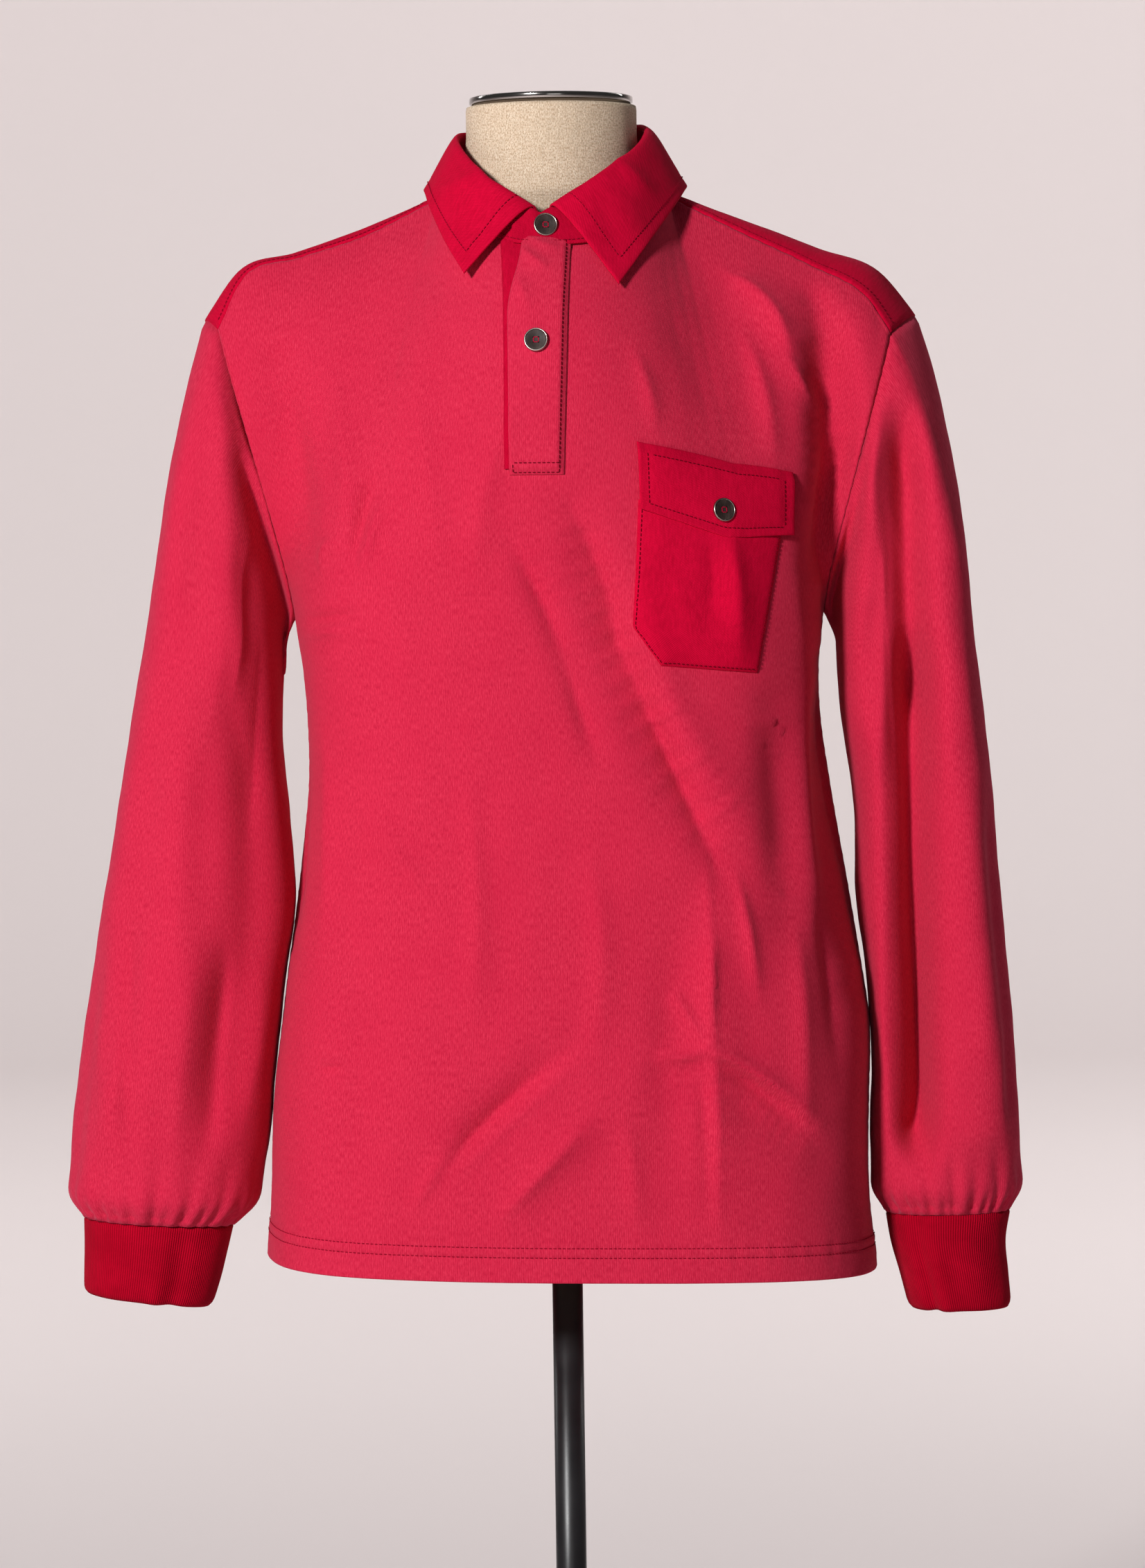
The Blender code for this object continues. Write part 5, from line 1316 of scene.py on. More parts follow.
class Finish:
    """Small builder for a procedural material."""

    def __init__(self, name, roughness, metallic=0.0, sheen=0.0, sheen_tint=(1, 1, 1), sheen_rough=0.5, specular=0.3):
        self.material = bpy.data.materials.new(name)
        self.material.use_nodes = True
        self.nodes = self.material.node_tree.nodes
        self.links = self.material.node_tree.links
        self.shader = self.nodes["Principled BSDF"]
        settings = {
            "Roughness": roughness, "Metallic": metallic, "Sheen Weight": sheen, "Sheen Tint": (*sheen_tint, 1),
            "Sheen Roughness": sheen_rough, "Specular IOR Level": specular,
        }
        for key, value in settings.items():
            self.shader.inputs[key].default_value = value

    def node(self, kind, inputs=(), **settings):
        made = self.nodes.new(kind)
        for key, value in settings.items():
            setattr(made, key, value)
        for key, value in dict(inputs).items():
            if isinstance(value, bpy.types.NodeSocket):
                self.links.new(value, made.inputs[key])
            else:
                made.inputs[key].default_value = value
        return made

    def cloth_places(self):
        return self.node("ShaderNodeUVMap", uv_map="cloth").outputs[0]

    def object_places(self):
        return self.node("ShaderNodeTexCoord").outputs["Object"]

    def scaled(self, places, scale, turn=0.0):
        return self.node(
            "ShaderNodeMapping", {"Vector": places, "Scale": scale, "Rotation": (0, 0, turn)}
        ).outputs[0]

    def noise(self, places, scale, detail=3.0, rough=0.55):
        made = self.node("ShaderNodeTexNoise", {"Vector": places, "Scale": scale, "Detail": detail, "Roughness": rough})
        return made.outputs["Fac"]

    def waves(self, places, scale, distortion=0.0, direction="X"):
        made = self.node(
            "ShaderNodeTexWave",
            {"Vector": places, "Scale": scale, "Distortion": distortion, "Detail": 1.0, "Detail Scale": 1.5},
            wave_type="BANDS",
            bands_direction=direction,
        )
        return made.outputs["Fac"]

    def ramp(self, value, stops):
        made = self.node("ShaderNodeValToRGB", {"Fac": value})
        elements = made.color_ramp.elements
        while len(elements) < len(stops):
            elements.new(0.5)
        for element, (place, colour) in zip(elements, stops):
            element.position = place
            element.color = (*colour, 1)
        return made.outputs["Color"]

    def grey(self, value, start, low, end, high):
        return self.ramp(value, [(start, (low, low, low)), (end, (high, high, high))])

    def over(self, base, colour, value, start, low, end, high):
        """Lays a colour over the base, as strongly as the value's grey ramp says."""
        share = self.grey(value, start, low, end, high)
        return self.mix(share, base, colour)

    def mix(self, share, a, b):
        made = self.node("ShaderNodeMix", data_type="RGBA")
        for socket, value in ((0, share), (6, a), (7, b)):
            if isinstance(value, bpy.types.NodeSocket):
                self.links.new(value, made.inputs[socket])
            elif socket:
                made.inputs[socket].default_value = (*value, 1)
            else:
                made.inputs[socket].default_value = value
        return made.outputs[2]

    def colour(self, value):
        self.links.new(value, self.shader.inputs["Base Color"])

    def roughness(self, value):
        self.links.new(value, self.shader.inputs["Roughness"])

    def bump(self, layers):
        """Chains bumps, each with its height and its depth in metres."""
        normal = None
        for height, distance, strength in layers:
            inputs = {"Height": height, "Distance": distance, "Strength": strength}
            made = self.node("ShaderNodeBump", inputs)
            if normal is not None:
                self.links.new(normal, made.inputs["Normal"])
            normal = made.outputs["Normal"]
        self.links.new(normal, self.shader.inputs["Normal"])
        return self.material


def jersey_finish():
    """Brushed knit: upright wales with painted shade in the grooves between them, uneven heather threads and a pale
    nap.
    """
    made = Finish("jersey_knit", 0.92, sheen=0.16, sheen_tint=(1.0, 0.36, 0.50), specular=0.05)
    flat = made.scaled(made.cloth_places(), (1, 1, 1))
    wales = made.waves(flat, WAVE_BAND / 0.0013, 0.35)
    courses = made.waves(flat, WAVE_BAND / 0.0010, 0.3, "Y")
    threads = made.noise(made.scaled(flat, (1100, 260, 1)), 1.0, 2.0, 0.6)
    broad = made.noise(made.scaled(flat, (38, 12, 1)), 1.0, 3.0, 0.55)
    mottle = made.noise(flat, 26.0, 4.0, 0.6)
    fuzz = made.noise(flat, 1500.0, 2.0, 0.6)
    stops = [(0.30, (0.460, 0.0140, 0.048)), (0.50, (0.560, 0.0250, 0.068)), (0.72, (0.640, 0.043, 0.092))]
    faded = made.over(made.ramp(threads, stops), (0.62, 0.024, 0.074), broad, 0.35, 0, 0.75, 0.25)
    worn = made.over(faded, (0.44, 0.006, 0.042), mottle, 0.42, 0, 0.80, 0.18)
    # Painted shade: the colour darkens in the grooves between the wales, where the bump lies low.
    made.colour(made.over(worn, (0.40, 0.004, 0.032), wales, 0.0, 0.36, 0.45, 0))
    made.roughness(made.grey(mottle, 0.3, 0.82, 0.7, 0.94))
    layers = [(mottle, 0.0003, 0.08), (wales, 0.00016, 0.40), (courses, 0.00010, 0.30), (fuzz, 0.00006, 0.15)]
    return made.bump(layers)


def twill_finish(name="twill_weave", turned=1.05, lit=1.0):
    """Dense twill: fine slanting ridges with painted shade in the grooves between them, darker than the knit. Below 1,
    lit darkens the whole colour, for a copy with painted shade.
    """
    made = Finish(name, 0.85, sheen=0.06, sheen_tint=(1.0, 0.20, 0.34), sheen_rough=0.45, specular=0.03)
    flat = made.cloth_places()
    slant = made.waves(made.scaled(flat, (1, 1, 1), turned), WAVE_BAND / 0.00095, 0.25)
    threads = made.noise(made.scaled(flat, (700, 140, 1), turned), 1.0, 2.0, 0.6)
    mottle = made.noise(flat, 34.0, 4.0, 0.6)
    fuzz = made.noise(flat, 1700.0, 2.0, 0.6)
    # lit scales every colour: a copy made with lit below 1 carries painted shade.
    low = (0.480 * lit, 0.0016 * lit, 0.0300 * lit)
    high = (0.620 * lit, 0.0032 * lit, 0.0440 * lit)
    dark = (0.360 * lit, 0.0010 * lit, 0.0200 * lit)
    # Painted shade: the colour darkens in the grooves of the slanting ridges, where the bump lies low.
    lined = made.over(made.ramp(threads, [(0.34, low), (0.70, high)]), dark, slant, 0.0, 0.45, 0.5, 0)
    made.colour(made.over(lined, high, mottle, 0.40, 0, 0.78, 0.45))
    made.roughness(made.grey(mottle, 0.3, 0.74, 0.7, 0.88))
    return made.bump([(mottle, 0.0009, 0.22), (slant, 0.00020, 0.6), (fuzz, 0.00012, 0.35)])


def rib_finish():
    """Fine one-by-one rib: narrow upright ridges, with painted shade in the valleys between them."""
    made = Finish("rib_knit", 0.90, sheen=0.05, sheen_tint=(1.0, 0.20, 0.30), specular=0.03)
    flat = made.cloth_places()
    ribs = made.waves(flat, WAVE_BAND / 0.00155, 0.15)
    loops = made.waves(flat, WAVE_BAND / 0.0011, 0.2, "Y")
    mottle = made.noise(flat, 40.0, 3.0, 0.6)
    base = made.ramp(mottle, [(0.35, (0.400, 0.0012, 0.0180)), (0.70, (0.500, 0.0022, 0.0250))])
    # Painted shade: the colour darkens in the valleys between the ribs, where the bump lies low.
    made.colour(made.over(base, (0.200, 0.0006, 0.0080), ribs, 0.0, 0.70, 0.6, 0))
    return made.bump([(mottle, 0.0010, 0.22), (ribs, 0.00050, 0.8), (loops, 0.00012, 0.35)])


def thread_finish(name, colour):
    made = Finish(name, 0.8, specular=0.04)
    twist = made.waves(made.object_places(), WAVE_BAND / 0.0006, 0.4, "DIAGONAL")
    dark = tuple(c * 0.55 for c in colour)
    # Painted shade: the colour darkens in the grooves of the twist, where the bump lies low.
    made.colour(made.ramp(twist, [(0.1, dark), (0.7, colour)]))
    return made.bump([(twist, 0.0001, 0.5)])


def linen_finish():
    """Plain woven linen with slubs along both threads and painted shade in the gaps between them."""
    made = Finish("linen_weave", 0.92, sheen=0.12, sheen_tint=(1.0, 0.95, 0.88), specular=0.15)
    flat = made.cloth_places()
    warp = made.waves(flat, WAVE_BAND / 0.0011, 0.9)
    weft = made.waves(flat, WAVE_BAND / 0.0011, 0.9, "Y")
    slub_up = made.noise(made.scaled(flat, (900, 70, 1)), 1.0, 2.0, 0.6)
    slub_across = made.noise(made.scaled(flat, (70, 900, 1)), 1.0, 2.0, 0.6)
    mottle = made.noise(flat, 30.0, 4.0, 0.6)
    cross = made.node("ShaderNodeMath", {0: warp, 1: weft}, operation="MULTIPLY").outputs[0]
    stops = [(0.32, (0.680, 0.530, 0.390)), (0.55, (0.880, 0.720, 0.555)), (0.75, (0.960, 0.840, 0.690))]
    across = made.over(made.ramp(slub_up, stops), (0.95, 0.82, 0.67), slub_across, 0.40, 0, 0.72, 0.6)
    # Painted shade: the colour darkens in the gaps between warp and weft, where the bump lies low.
    dark = made.over(across, (0.36, 0.26, 0.18), cross, 0.02, 0.42, 0.30, 0)
    grain = made.noise(flat, 620.0, 2.0, 0.6)
    grained = made.over(dark, (0.44, 0.31, 0.20), grain, 0.38, 0.85, 0.56, 0)
    made.colour(made.over(grained, (0.60, 0.46, 0.33), mottle, 0.4, 0, 0.8, 0.25))
    return made.bump([(slub_up, 0.0004, 0.4), (cross, 0.0004, 0.6), (slub_across, 0.0003, 0.3)])


def chrome_finish(name="polished_metal", tint=(0.78, 0.77, 0.76), low=0.08, high=0.20):
    made = Finish(name, 0.12, metallic=1.0, specular=0.5)
    places = made.object_places()
    smear = made.noise(places, 18.0, 3.0, 0.6)
    fine = made.noise(made.scaled(places, (30, 30, 900)), 1.0, 2.0, 0.5)
    made.colour(made.ramp(smear, [(0.3, tuple(c * 0.88 for c in tint)), (0.7, tint)]))
    made.roughness(made.grey(smear, 0.35, low, 0.75, high))
    return made.bump([(fine, 0.00003, 0.2)])


def paint_finish():
    made = Finish("black_paint", 0.4, specular=0.5)
    places = made.object_places()
    grain = made.noise(places, 700.0, 3.0, 0.6)
    smear = made.noise(places, 14.0, 4.0, 0.6)
    made.colour(made.ramp(smear, [(0.35, (0.012, 0.011, 0.012)), (0.7, (0.024, 0.022, 0.024))]))
    made.roughness(made.grey(smear, 0.3, 0.30, 0.75, 0.46))
    return made.bump([(grain, 0.00012, 0.25)])


def button_finish():
    """Dark horn-like resin with soft streaks."""
    made = Finish("button_resin", 0.5, specular=0.2)
    places = made.object_places()
    streaks = made.noise(made.scaled(places, (160, 60, 160)), 1.0, 4.0, 0.6)
    stops = [(0.35, (0.022, 0.014, 0.012)), (0.55, (0.050, 0.034, 0.030)), (0.75, (0.105, 0.075, 0.066))]
    made.colour(made.ramp(streaks, stops))
    fine = made.noise(places, 2200.0, 2.0, 0.5)
    return made.bump([(fine, 0.00004, 0.3)])


def detailed_button(name, node, place, facing, finishes):
    """Resin disc with a hollowed face, four holes crossed by thread, each shown as a dark disc of painted shade, in a
    bright turned rim.
    """
    face, rim, thread, pit = finishes
    top = BUTTON_THICKNESS
    r = BUTTON_RADIUS
    well = top - BUTTON_RIM
    face_profile = [
        (0, well - 0.0003), (r * 0.46, well - 0.0003), (r * 0.58, well), (r * 0.80, well), (r * 0.87, well + 0.0001),
        (r * 0.89, well - 0.0004), (r * 0.89, 0.0008), (r * 0.76, 0.0002), (0, 0.0002),
    ]
    rim_profile = [
        (r * 0.86, well - 0.0002), (r * 0.87, top - 0.0002), (r * 0.90, top), (r * 0.94, top),
        (r * 0.98, top - 0.0003), (r, top - 0.0009), (r, 0.0007), (r * 0.94, 0), (r * 0.87, 0.0),
        (r * 0.86, 0.0004), (r * 0.86, well - 0.0002),
    ]
    hole_shade_profile = [(0, 0.0), (0.00050, 0.0), (0.00062, 0.00006), (0.00070, -0.00004), (0, -0.0001)]
    disc = lathe(name + "_face", face_profile, face, place, facing, 48)
    bright = lathe(name + "_rim", rim_profile, rim, place, facing, 48)
    turn = mathutils.Vector(facing).to_track_quat("Z", "Y")
    upright = turn.inverted() @ mathutils.Vector((0, 0, 1))
    up = unit(np.array([upright.x, upright.y, 0.0]))
    side = np.array([up[1], -up[0], 0.0])
    holes = [(side * a + up * b) * r * 0.21 for a, b in ((-1, -1), (1, -1), (1, 1), (-1, 1))]
    out = np.array([0, 0, 1.0])
    starts, ends = [], []
    for a, b in ((0, 1), (2, 3), (0, 3), (1, 2)):
        for shift in (-0.00012, 0.00012):
            across = unit(np.cross(holes[b] - holes[a], out)) * shift + out * (well - 0.00025)
            starts.append(holes[a] + across)
            ends.append(holes[b] + across)
    threads = tube_rings(name + "_thread", starts, ends, [out] * len(starts), 0.00019, thread)
    threads.location = place
    threads.rotation_mode = "QUATERNION"
    threads.rotation_quaternion = turn
    # Dark discs at the four holes: painted shade standing for the inside of each hole.
    hole_shades = []
    for number, hole in enumerate(holes):
        spot = mathutils.Vector(place) + turn @ mathutils.Vector(hole + out * (well - 0.00026))
        hole_shades.append(lathe(f"{name}_hole_{number}", hole_shade_profile, pit, spot, facing, 16))
    declare(disc, [node])
    for piece in [bright, threads] + hole_shades:
        declare(piece, [])


# Near-black colour that paints the shade inside a button's holes.
def hole_shade_finish():
    made = Finish("painted_hole_shade", roughness=0.7, specular=0.2)
    grain = made.noise(made.object_places(), 900.0, 2.0, 0.5)
    made.colour(made.ramp(grain, [(0.3, (0.004, 0.002, 0.002)), (0.7, (0.012, 0.006, 0.006))]))
    return made.bump([(grain, 0.00002, 0.2)])


def patch(x, z, lift, wrinkles=None):
    """Outer points and normals of a patch on the front whose own surface lies lift above it."""
    points, normals = fine_front_at(x, z)
    raised = lift + np.zeros(x.shape)
    if wrinkles is not None:
        raised = raised + creases(wrinkles, x, z)
    return points + normals * raised[..., None], normals


def tight_shares(count, edge=0.012):
    """Shares from 0 to 1 with an extra one close to each end, so that rims look turned."""
    inner = np.linspace(0, 1, count)
    return np.concatenate([[0, edge], inner[1:-1], [1 - edge, 1]])


def make_camera():
    camera = bpy.data.cameras.new("photo_camera")
    camera.angle = 2 * atan(PICTURE_HEIGHT * METRES_PER_PIXEL / 2 / CAMERA_DISTANCE)
    camera.clip_end = 60
    holder = bpy.data.objects.new("photo_camera", camera)
    bpy.context.scene.collection.objects.link(holder)
    aim = mathutils.Vector(PICTURE_MIDDLE)
    eye = mathutils.Vector((aim.x, -CAMERA_DISTANCE, CAMERA_HEIGHT))
    look = (aim - eye).to_track_quat("-Z", "Y").to_matrix()
    holder.location = eye
    holder.rotation_euler = (look @ mathutils.Matrix.Rotation(radians(CAMERA_ROLL), 3, "Z")).to_euler()
    bpy.context.scene.camera = holder


def make_light(name, place, aim, size, power):
    light = bpy.data.lights.new(name, "AREA")
    light.shape = "RECTANGLE"
    light.size = light.size_y = size
    light.energy = power
    holder = bpy.data.objects.new(name, light)
    holder.location = place
    way = mathutils.Vector(aim) - mathutils.Vector(place)
    holder.rotation_euler = way.to_track_quat("-Z", "Y").to_euler()
    bpy.context.scene.collection.objects.link(holder)


def make_studio():
    """Pale floor that curves up into a wall far behind, soft light from the upper left."""
    floor = Finish("studio_paper", 0.95, specular=0.1)
    places = floor.object_places()
    tone = floor.noise(places, 0.35, 2.0, 0.5)
    floor.colour(floor.ramp(tone, [(0.3, STUDIO_TONE), (0.7, tuple(c * 1.02 for c in STUDIO_TONE))]))
    grain = floor.noise(places, 300.0, 2.0, 0.5)
    finish = floor.bump([(grain, 0.0002, 0.1)])
    start, radius, floor_z = 8.0, 3.0, -0.0005
    profile = [(-14.0, floor_z), (start, floor_z)]
    for step in range(1, 13):
        turn = step / 12 * pi / 2
        profile.append((start + radius * sin(turn), radius - radius * cos(turn) + floor_z))
    profile.append((start + radius, 9.0))
    points = [(x, y, z) for y, z in profile for x in (-15.0, 15.0)]
    faces = [(2 * k, 2 * k + 1, 2 * k + 3, 2 * k + 2) for k in range(len(profile) - 1)]
    mesh_piece("studio_paper", np.array(points), np.array(faces), finish)
    world = bpy.data.worlds.new("studio")
    world.use_nodes = True
    bpy.context.scene.world = world
    background = world.node_tree.nodes["Background"].inputs
    background["Color"].default_value = (*WORLD_TONE, 1)
    background["Strength"].default_value = WORLD_STRENGTH
    for light in LIGHTS:
        make_light(*light)
    bpy.context.scene.view_settings.view_transform = "Standard"
    bpy.context.scene.view_settings.gamma = 0.92


def roll_fall(turn):
    """How far the rolled fold lies below the plain one: most in front, none behind."""
    return 0.0142 * ease(115.0 - np.abs(turn), 0.0, 65.0)


def stand_shown(turn, w):
    """Collar stand with its low front: foot over the placket's top, upper rim under the roll."""
    turn = np.asarray(turn, float)
    w = np.asarray(w, float)
    wrapped = (turn + 180) % 360 - 180
    near = ease(42.0 - np.abs(wrapped), 0.0, 26.0)
    drop = roll_fall(wrapped) - 0.0077 * ease(14.0 - np.abs(wrapped), 0.0, 10.0)
    low = joined(0 * turn, -0.0062 * near, -0.0050 * near) * (1 - w)[..., None]
    return stand_surface(turn, w) + low - joined(0 * turn, 0, drop) * w[..., None]


def dress_stand():
    """Form and stand, made first because the cloth rests on them."""
    linen = linen_finish()
    metal = chrome_finish(tint=(0.46, 0.43, 0.41))
    paint = paint_finish()
    table = np.array(FORM_SECTIONS)
    bend = 1.32
    heights = np.concatenate([np.linspace(table[0, 0], bend, 40)[:-1], np.linspace(bend, NECK_SEEN_Z, 50)])
    around, up = np.meshgrid(np.linspace(0, 2 * pi, 120, endpoint=False), heights)
    values = np.stack([np.interp(heights, table[:, 0], table[:, k]) for k in range(1, 6)], axis=-1)[:, None]
    centre, half, front, back, square = np.moveaxis(values, -1, 0)
    rings = joined(
        centre + half * np.cos(around) * (1 + square * np.sin(around) ** 2),
        np.where(np.sin(around) > 0, back, -front) * np.sin(around) * (1 + square * np.cos(around) ** 2),
        up,
    )
    declare(shell("form_cover", rings, 0.0015, linen, closed=True), ["form_torso"])
    lid, low = NECK_SEEN_Z - 0.0004, FORM_BOTTOM_Z + 0.0012
    c, cap, seat = CAP_RADIUS, CAP_SEEN_Z, NECK_SEEN_Z + SEAM_GAP
    f, top = FLANGE_RADIUS, FORM_BOTTOM_Z - SEAM_GAP
    p, end = POLE_RADIUS, top - FLANGE_HEIGHT
    h, hub, d, disc = HUB_RADIUS, HUB_TOP_Z, FOOT_RADIUS, FOOT_THICKNESS
    turned = (
        ("form_lid", [(0, lid), (0.0560, lid)], linen, 64, [], "linen"),
        ("form_underside", [(0, low), (0.0880, low)], linen, 64, [], "linen"),
        ("cap_disc", [
            (0, cap), (c - 0.0012, cap), (c - 0.0003, cap - 0.0003), (c, cap - 0.0010), (c, seat + 0.0024),
            (c - 0.0012, seat + 0.0014), (c - 0.0022, seat), (0, seat),
        ], metal, 128, ["neck_cap"], "bright_metal"),
        ("pole_flange", [
            (0, top), (f - 0.001, top), (f, top - 0.001), (f, top - 0.005), (f - 0.001, top - 0.006),
            (p + 0.007, top - 0.009), (p + 0.005, top - 0.011), (p + 0.005, end), (0, end),
        ], paint, 64, ["pole_collar"], "black_steel"),
        ("pole_tube", [
            (0, end - SEAM_GAP), (p, end - SEAM_GAP), (p, hub + SEAM_GAP), (0, hub + SEAM_GAP),
        ], paint, 48, ["pole"], "black_steel"),
        ("foot_disc", [
            (0, hub), (h - 0.004, hub), (h - 0.001, hub - 0.001), (h, hub - 0.004), (h, disc + 0.003),
            (h + 0.001, disc + 0.001), (h + 0.004, disc), (d - 0.004, disc), (d - 0.001, disc - 0.001),
            (d, disc - 0.004), (d, 0.001), (d - 0.001, 0), (0, 0),
        ], paint, 128, ["base"], "black_steel"),
    )
    for name, profile, finish, turns, nodes, slot in turned:
        declare(lathe(name, profile, finish, turns=turns), nodes)


def dress_body(knit, weave, ribs, thread):
    """Front, back, yoke, sleeves and cuffs."""
    for side, name, flat in ((FRONT, "front", (0.58, 0.74)), (BACK, "back", (0.58, 0.68))):
        hem = ("hem_stitches_" + name, hem_lines(side), thread)
        sew(name + "_cloth", panel_grid(side), (JERSEY, knit), name, "jersey", flat, "hung", FORM, hem)
    rows = ("yoke_stitches", yoke_lines(), thread)
    sew("yoke_cloth", yoke_grid(), (TWILL, weave), "yoke", "twill", (0.52, 0.20), "hung", FORM, rows)
    for name, sign in (("left", -1), ("right", 1)):
        sleeve_name, cuff_name = "sleeve_" + name, "cuff_" + name
        outer, normals = sleeve(float(sign))
        grid = outer[:, ::sign], normals[:, ::sign]
        cloth = sleeve_name + "_cloth"
        sew(cloth, grid, (JERSEY, knit), sleeve_name, "jersey", (0.46, 0.62), "hung", FORM, closed=True)
        grid = cuff_grid(float(sign))[:, ::sign], None
        size = (0.225, 0.072)
        rib = cuff_name + "_rib"
        sew(rib, grid, (RIB, ribs), cuff_name, "rib", size, "stretched", [cloth], closed=True, rounded=0.0009)


def lifted(outer, normals, *place):
    """Line of a grid raised a little, for stitches."""
    return outer[place] + normals[place] * 0.0001, normals[place]


def stand_grid():
    """Collar stand all round from the upper lap to the lower one."""
    end = 360.0 + STAND_LAP_END
    turn = np.concatenate([
        [STAND_LAP_START, STAND_LAP_START + 0.6, 0.0, 6.0], np.linspace(180.0 / 14, 360.0, 110),
        np.linspace(360.0, end, 12)[1:-1], [end - 0.6, end],
    ])
    around, w = np.meshgrid(-turn, tight_shares(12, 0.02))
    outer = stand_shown(around, w)
    out = unit(outer - joined(0, ROLL_CENTRE_Y, outer[..., 2]))
    lift = STAND_LAP_LIFT * ease(-around, 322.0, 346.0)
    outer = (outer + out * lift[..., None])[:, ::-1]
    return outer, grid_normals(outer, False)


def leaf_grid():
    """Collar leaf with its rolled fold, soft creases and the groove of its stitches."""
    half = np.concatenate([[LEAF_START, LEAF_START + 0.35], np.linspace(10.0, 180.0, 74)])
    turn = np.concatenate([-half, half[-2::-1]])
    shares = tight_shares(LEAF_ROWS, 0.014)
    around, w = np.meshgrid(turn, shares)
    closing = np.where(around < 0, 0.0060, -0.0036) * ease(36.0 - np.abs(around), 0.0, 28.0)
    moved = joined(closing, 0 * around, -roll_fall(around))
    outer = leaf_surface(around, w) + moved * ((1 - w) ** 1.3)[..., None]
    fall = outer[1] - outer[0]
    upward = unit(np.cross(np.cross(fall, joined(0 * turn, 0 * turn, 1)), fall))
    upward = upward * np.sign(upward[:, 2:3])
    rolls = []
    for degrees in LEAF_ROLL_TURNS:
        a = radians(degrees)
        rolls.append(outer[0] - upward * LEAF_ROLL_RADIUS * (1 - cos(a)) - unit(fall) * LEAF_ROLL_RADIUS * sin(a))
    outer = np.concatenate([np.array(rolls), outer])
    normals = grid_normals(outer, False)
    wrinkle = creases(LEAF_CREASES, outer[..., 0], outer[..., 2]) * (outer[..., 1] < 0)
    share = np.concatenate([np.zeros(len(rolls)), shares])[:, None]
    groove = -0.0004 * np.exp(-(((share - LEAF_SEWN_SHARE) / 0.02) ** 2))
    shift = wrinkle + groove + ripple(around[:1] * 0.002, share * 0.06) * 0.7
    return outer + normals * shift[..., None], normals


def dress_collar(weave, under, thread):
    outer, normals = stand_grid()
    lines = [lifted(outer, normals, 2), lifted(outer, normals, -3, slice(96, None))]
    rows = ("collar_stand_stitches", lines, thread)
    grid = outer, normals
    # The stand wears the copy of the twill with painted shade.
    sew("collar_stand_cloth", grid, (TWILL, under), "collar_stand", "twill", (0.47, 0.05), "stretched", FORM, rows)
    outer, normals = leaf_grid()
    row = len(LEAF_ROLL_TURNS) + int(LEAF_SEWN_SHARE * (LEAF_ROWS + 1))
    lines = [lifted(outer, normals, row, slice(5, -5))]
    lines += [lifted(outer, normals, slice(8, row + 1), column) for column in (5, -6)]
    rows = ("collar_leaf_stitches", lines, thread)
    grid = outer, normals
    sew("collar_leaf_cloth", grid, (TWILL, weave), "collar_leaf", "twill", (0.49, 0.085), "folded",
        ["collar_stand_cloth"], rows, rounded=0.0005)


def sew_patch(name, grid, cloth, slot, flat, stitches=None, **shape):
    """A piece that hangs on the front."""
    sew(name + "_cloth", grid, cloth, name, slot, flat, "hung", ["front_cloth"], stitches, 5, **shape)


def dress_placket(knit, under, thread):
    low = PLACKET_BOTTOM_Z + 0.004
    rows_z = low + (PLACKET_TOP_Z - low) * tight_shares(90, 0.004)
    x, z = strip(np.full(rows_z.shape, UNDER_LEFT_X), np.full(rows_z.shape, UNDER_RIGHT_X), rows_z, 12)
    grid = patch(x, z, LIE_GAP + UNDER_THICKNESS)
    # The under strip wears the copy of the twill with painted shade.
    sew_patch("placket_under", grid, (UNDER_THICKNESS, under), "twill", (0.035, 0.17))
    rows_z = PLACKET_BOTTOM_Z + (PLACKET_TOP_Z - PLACKET_BOTTOM_Z) * tight_shares(100, 0.004)
    left, right = placket_edges(rows_z)
    x, z = strip(left, right, rows_z, 30)
    lift = 2 * LIE_GAP + UNDER_THICKNESS + TWILL
    outer, normals = patch(x, z, lift, PLACKET_CREASES)
    sewn = np.minimum(right[:, None] - x, z - PLACKET_BOTTOM_Z)
    flush = (lift - 0.0012) * (1 - ease(sewn, 0.0, 0.0060)) * ease(PLACKET_TOP_Z - z, -0.001, 0.012)
    outer = outer - normals * (flush + 0.0004 * np.exp(-(((sewn - 0.0022) / 0.0010) ** 2)))[..., None]
    most = slice(2, -2)
    places = ((2, most), (6, most), (most, -4), (slice(2, 7), 2))
    rows = ("placket_stitches", [(outer[place], normals[place]) for place in places], thread)
    sew_patch("placket_top", (outer, normals), (TWILL, knit), "jersey", (0.045, 0.17), rows, rounded=0.0006)


def pulled(grid, corners, along, across, point, ends, axis):
    """Bends the straight side between two corners of a grid out to a point on it."""
    corners = np.array(corners)
    start, end = corners[ends[0]], corners[ends[1]]
    level = (start[axis] - point[axis]) / (start[axis] - end[axis])
    straight = start * (1 - level) + end * level
    share = np.where(along < level, along / level, (1 - along) / (1 - level))
    return grid + (np.array(point) - straight) * (share * across)[..., None]


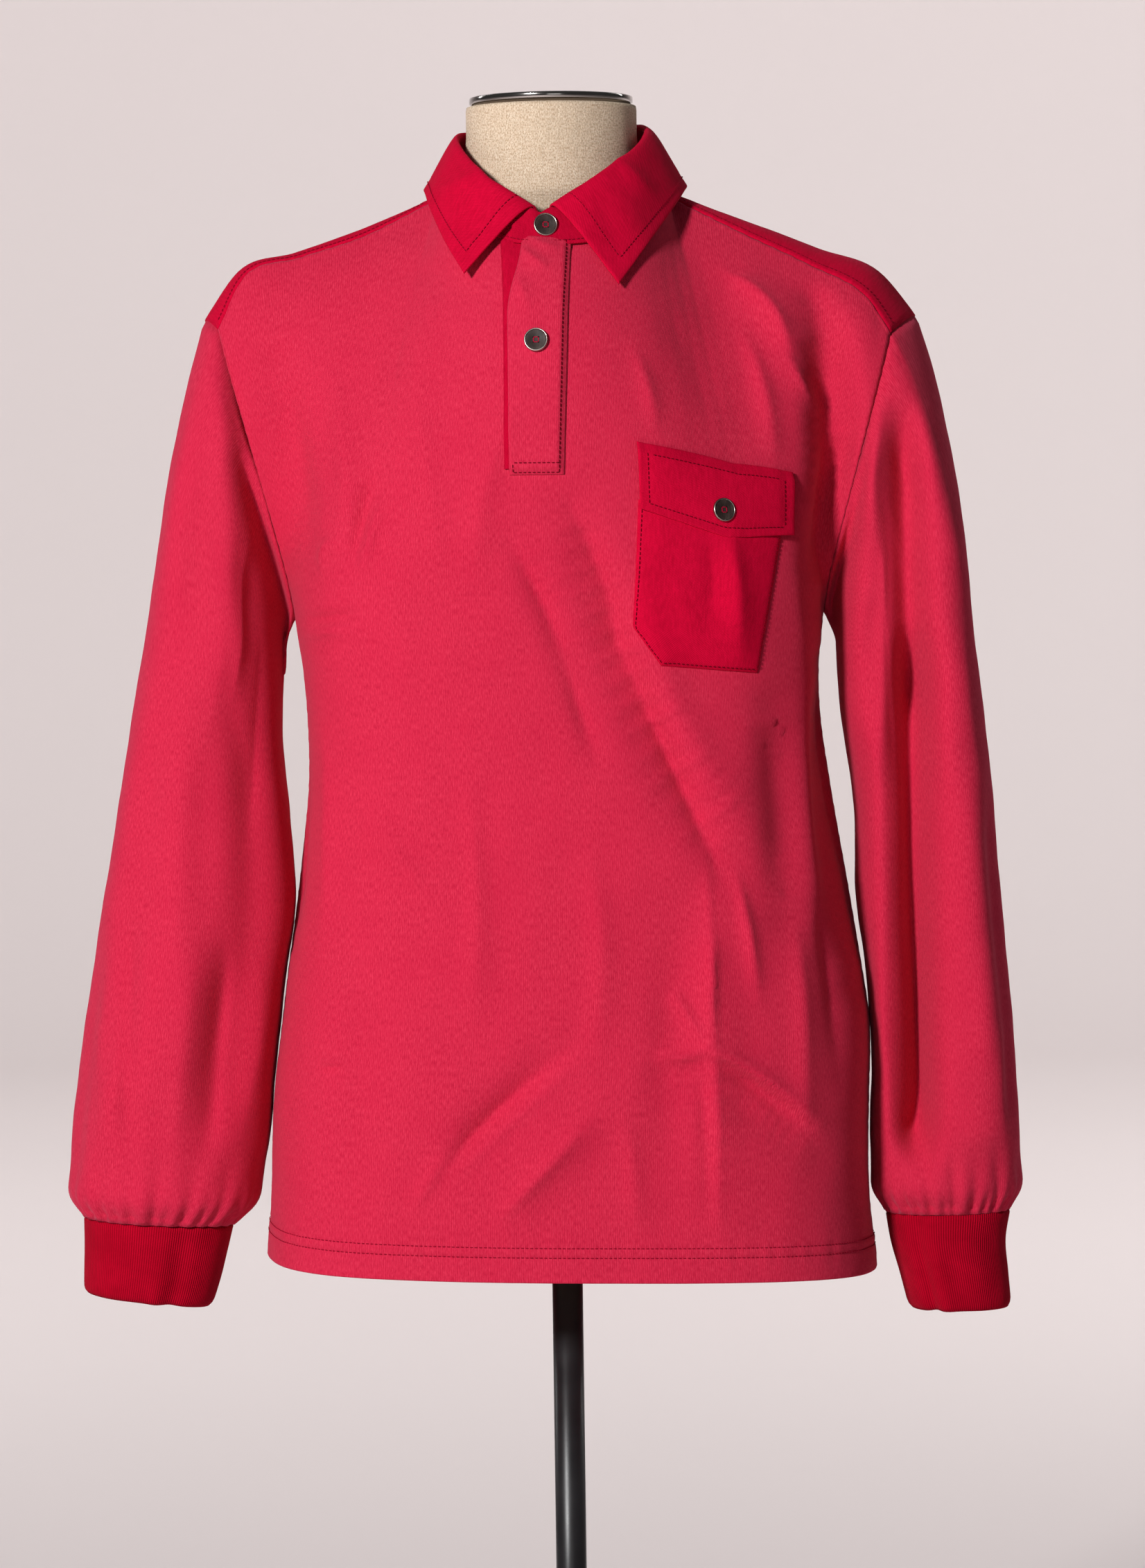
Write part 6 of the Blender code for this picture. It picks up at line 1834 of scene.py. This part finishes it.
def dress_pocket(weave, thread):
    grid, across, down = shared_grid(POCKET_CORNERS, 44, 50)
    grid = pulled(grid, POCKET_CORNERS, down, 1 - across, POCKET_LEFT_BEND, (0, 3), 1)
    edge = np.minimum(np.minimum(across, 1 - across) * 0.08, (1 - down) * 0.11)
    outer, normals = patch(grid[..., 0], grid[..., 1], LIE_GAP + TWILL, POCKET_CREASES)
    lift = 0.0010 * ease(edge, 0.002, 0.014) - 0.0012 * (1 - ease(edge, 0.0, 0.003))
    outer = outer + normals * lift[..., None]
    lines = [inset_line(outer, normals, 2, side) for side in ("left", "right", "bottom")]
    rows = ("pocket_stitches", lines, thread)
    sew_patch("pocket", (outer, normals), (TWILL, weave), "twill", (0.105, 0.125), rows, rounded=0.0006)

    grid, across, down = shared_grid(FLAP_CORNERS, 50, 26)
    grid = pulled(grid, FLAP_CORNERS, across, down, FLAP_POINT, (3, 2), 0)
    points, normals = patch(grid[..., 0], grid[..., 1], 0)
    edge = np.minimum(np.minimum(across, 1 - across) * 0.10, (1 - down) * 0.045)
    belly = FLAP_LIFT + TWILL + 0.0010 * np.sin(pi * down) * ease(edge, 0, 0.012)
    belly = belly - (FLAP_LIFT - 0.0008) * np.exp(-((down / 0.10) ** 2))
    belly = belly + 0.0004 * np.exp(-((edge / 0.0022) ** 2)) - 0.0004 * np.exp(-(((edge - 0.0058) / 0.0011) ** 2))
    outer = points + normals * (belly + creases(POCKET_CREASES, grid[..., 0], grid[..., 1]) * 0.4)[..., None]
    sides = (("left", 4), ("right", 4), ("bottom", 4), ("top", 5))
    rows = ("pocket_flap_stitches", [inset_line(outer, normals, steps, side) for side, steps in sides], thread)
    sew_patch("pocket_flap", (outer, normals), (TWILL, weave), "twill", (0.11, 0.055), rows, rounded=0.0005)


def dress_buttons():
    rim = chrome_finish("button_rim", (0.46, 0.42, 0.38), 0.25, 0.42)
    thread = thread_finish("bright_red_thread", (0.55, 0.008, 0.05))
    finishes = (button_finish(), rim, thread, hole_shade_finish())
    on_placket = 2 * LIE_GAP + UNDER_THICKNESS + TWILL + BUTTON_LIFT
    on_flap = FLAP_LIFT + TWILL + BUTTON_LIFT
    for name, (x, z), lift in (("placket", BUTTON_PLACKET, on_placket), ("pocket", BUTTON_POCKET, on_flap)):
        spot, facing = fine_front_at(np.array(x), np.array(z))
        detailed_button(name + "_button", "button_" + name, spot + facing * lift, facing, finishes)
    turn = np.array(BUTTON_STAND_TURN)
    here = stand_shown(turn, np.array(0.54))
    facing = unit(np.cross(roll_line(turn + 1) - roll_line(turn - 1), roll_line(turn) - neck_at(turn)))
    detailed_button("stand_button", "button_stand", here + facing * (STAND_LAP_LIFT + BUTTON_LIFT), facing, finishes)


def dress():
    knit = jersey_finish()
    weave = twill_finish()
    # Painted shade: a darker copy of the twill for the collar stand, which lies under the leaf, and for the placket
    # strip under the top one.
    under = twill_finish("twill_shade", 1.05, 0.85)
    ribs = rib_finish()
    thread = thread_finish("red_thread", (0.36, 0.004, 0.030))
    dark_thread = thread_finish("dark_red_thread", (0.20, 0.002, 0.014))
    dress_stand()
    dress_body(knit, weave, ribs, thread)
    dress_collar(weave, under, thread)
    dress_placket(knit, under, dark_thread)
    dress_pocket(weave, dark_thread)
    dress_buttons()


def blended(corners, across, down):
    """Points between four corners: upper left, upper right, lower right, lower left."""
    corners = np.array(corners)
    across, down = across[..., None], down[..., None]
    top = corners[0] * (1 - across) + corners[1] * across
    bottom = corners[3] * (1 - across) + corners[2] * across
    return top * (1 - down) + bottom * down


def shared_grid(corners, columns, rows):
    """Grid between four corners with extra lines close to its rims."""
    across, down = np.meshgrid(tight_shares(columns, 0.006), tight_shares(rows, 0.008)[::-1])
    return blended(corners, across, down), across, down


def inset_line(outer, normals, steps, side):
    """Line of a patch's grid a few steps inside one of its sides."""
    rows, columns = outer.shape[:2]
    place = {
        "left": (slice(steps, rows - steps), steps),
        "right": (slice(steps, rows - steps), columns - 1 - steps),
        "bottom": (steps, slice(steps, columns - steps)),
        "top": (rows - 1 - steps, slice(steps, columns - steps)),
    }[side]
    return outer[place], normals[place]


make_camera()
dress()
make_studio()
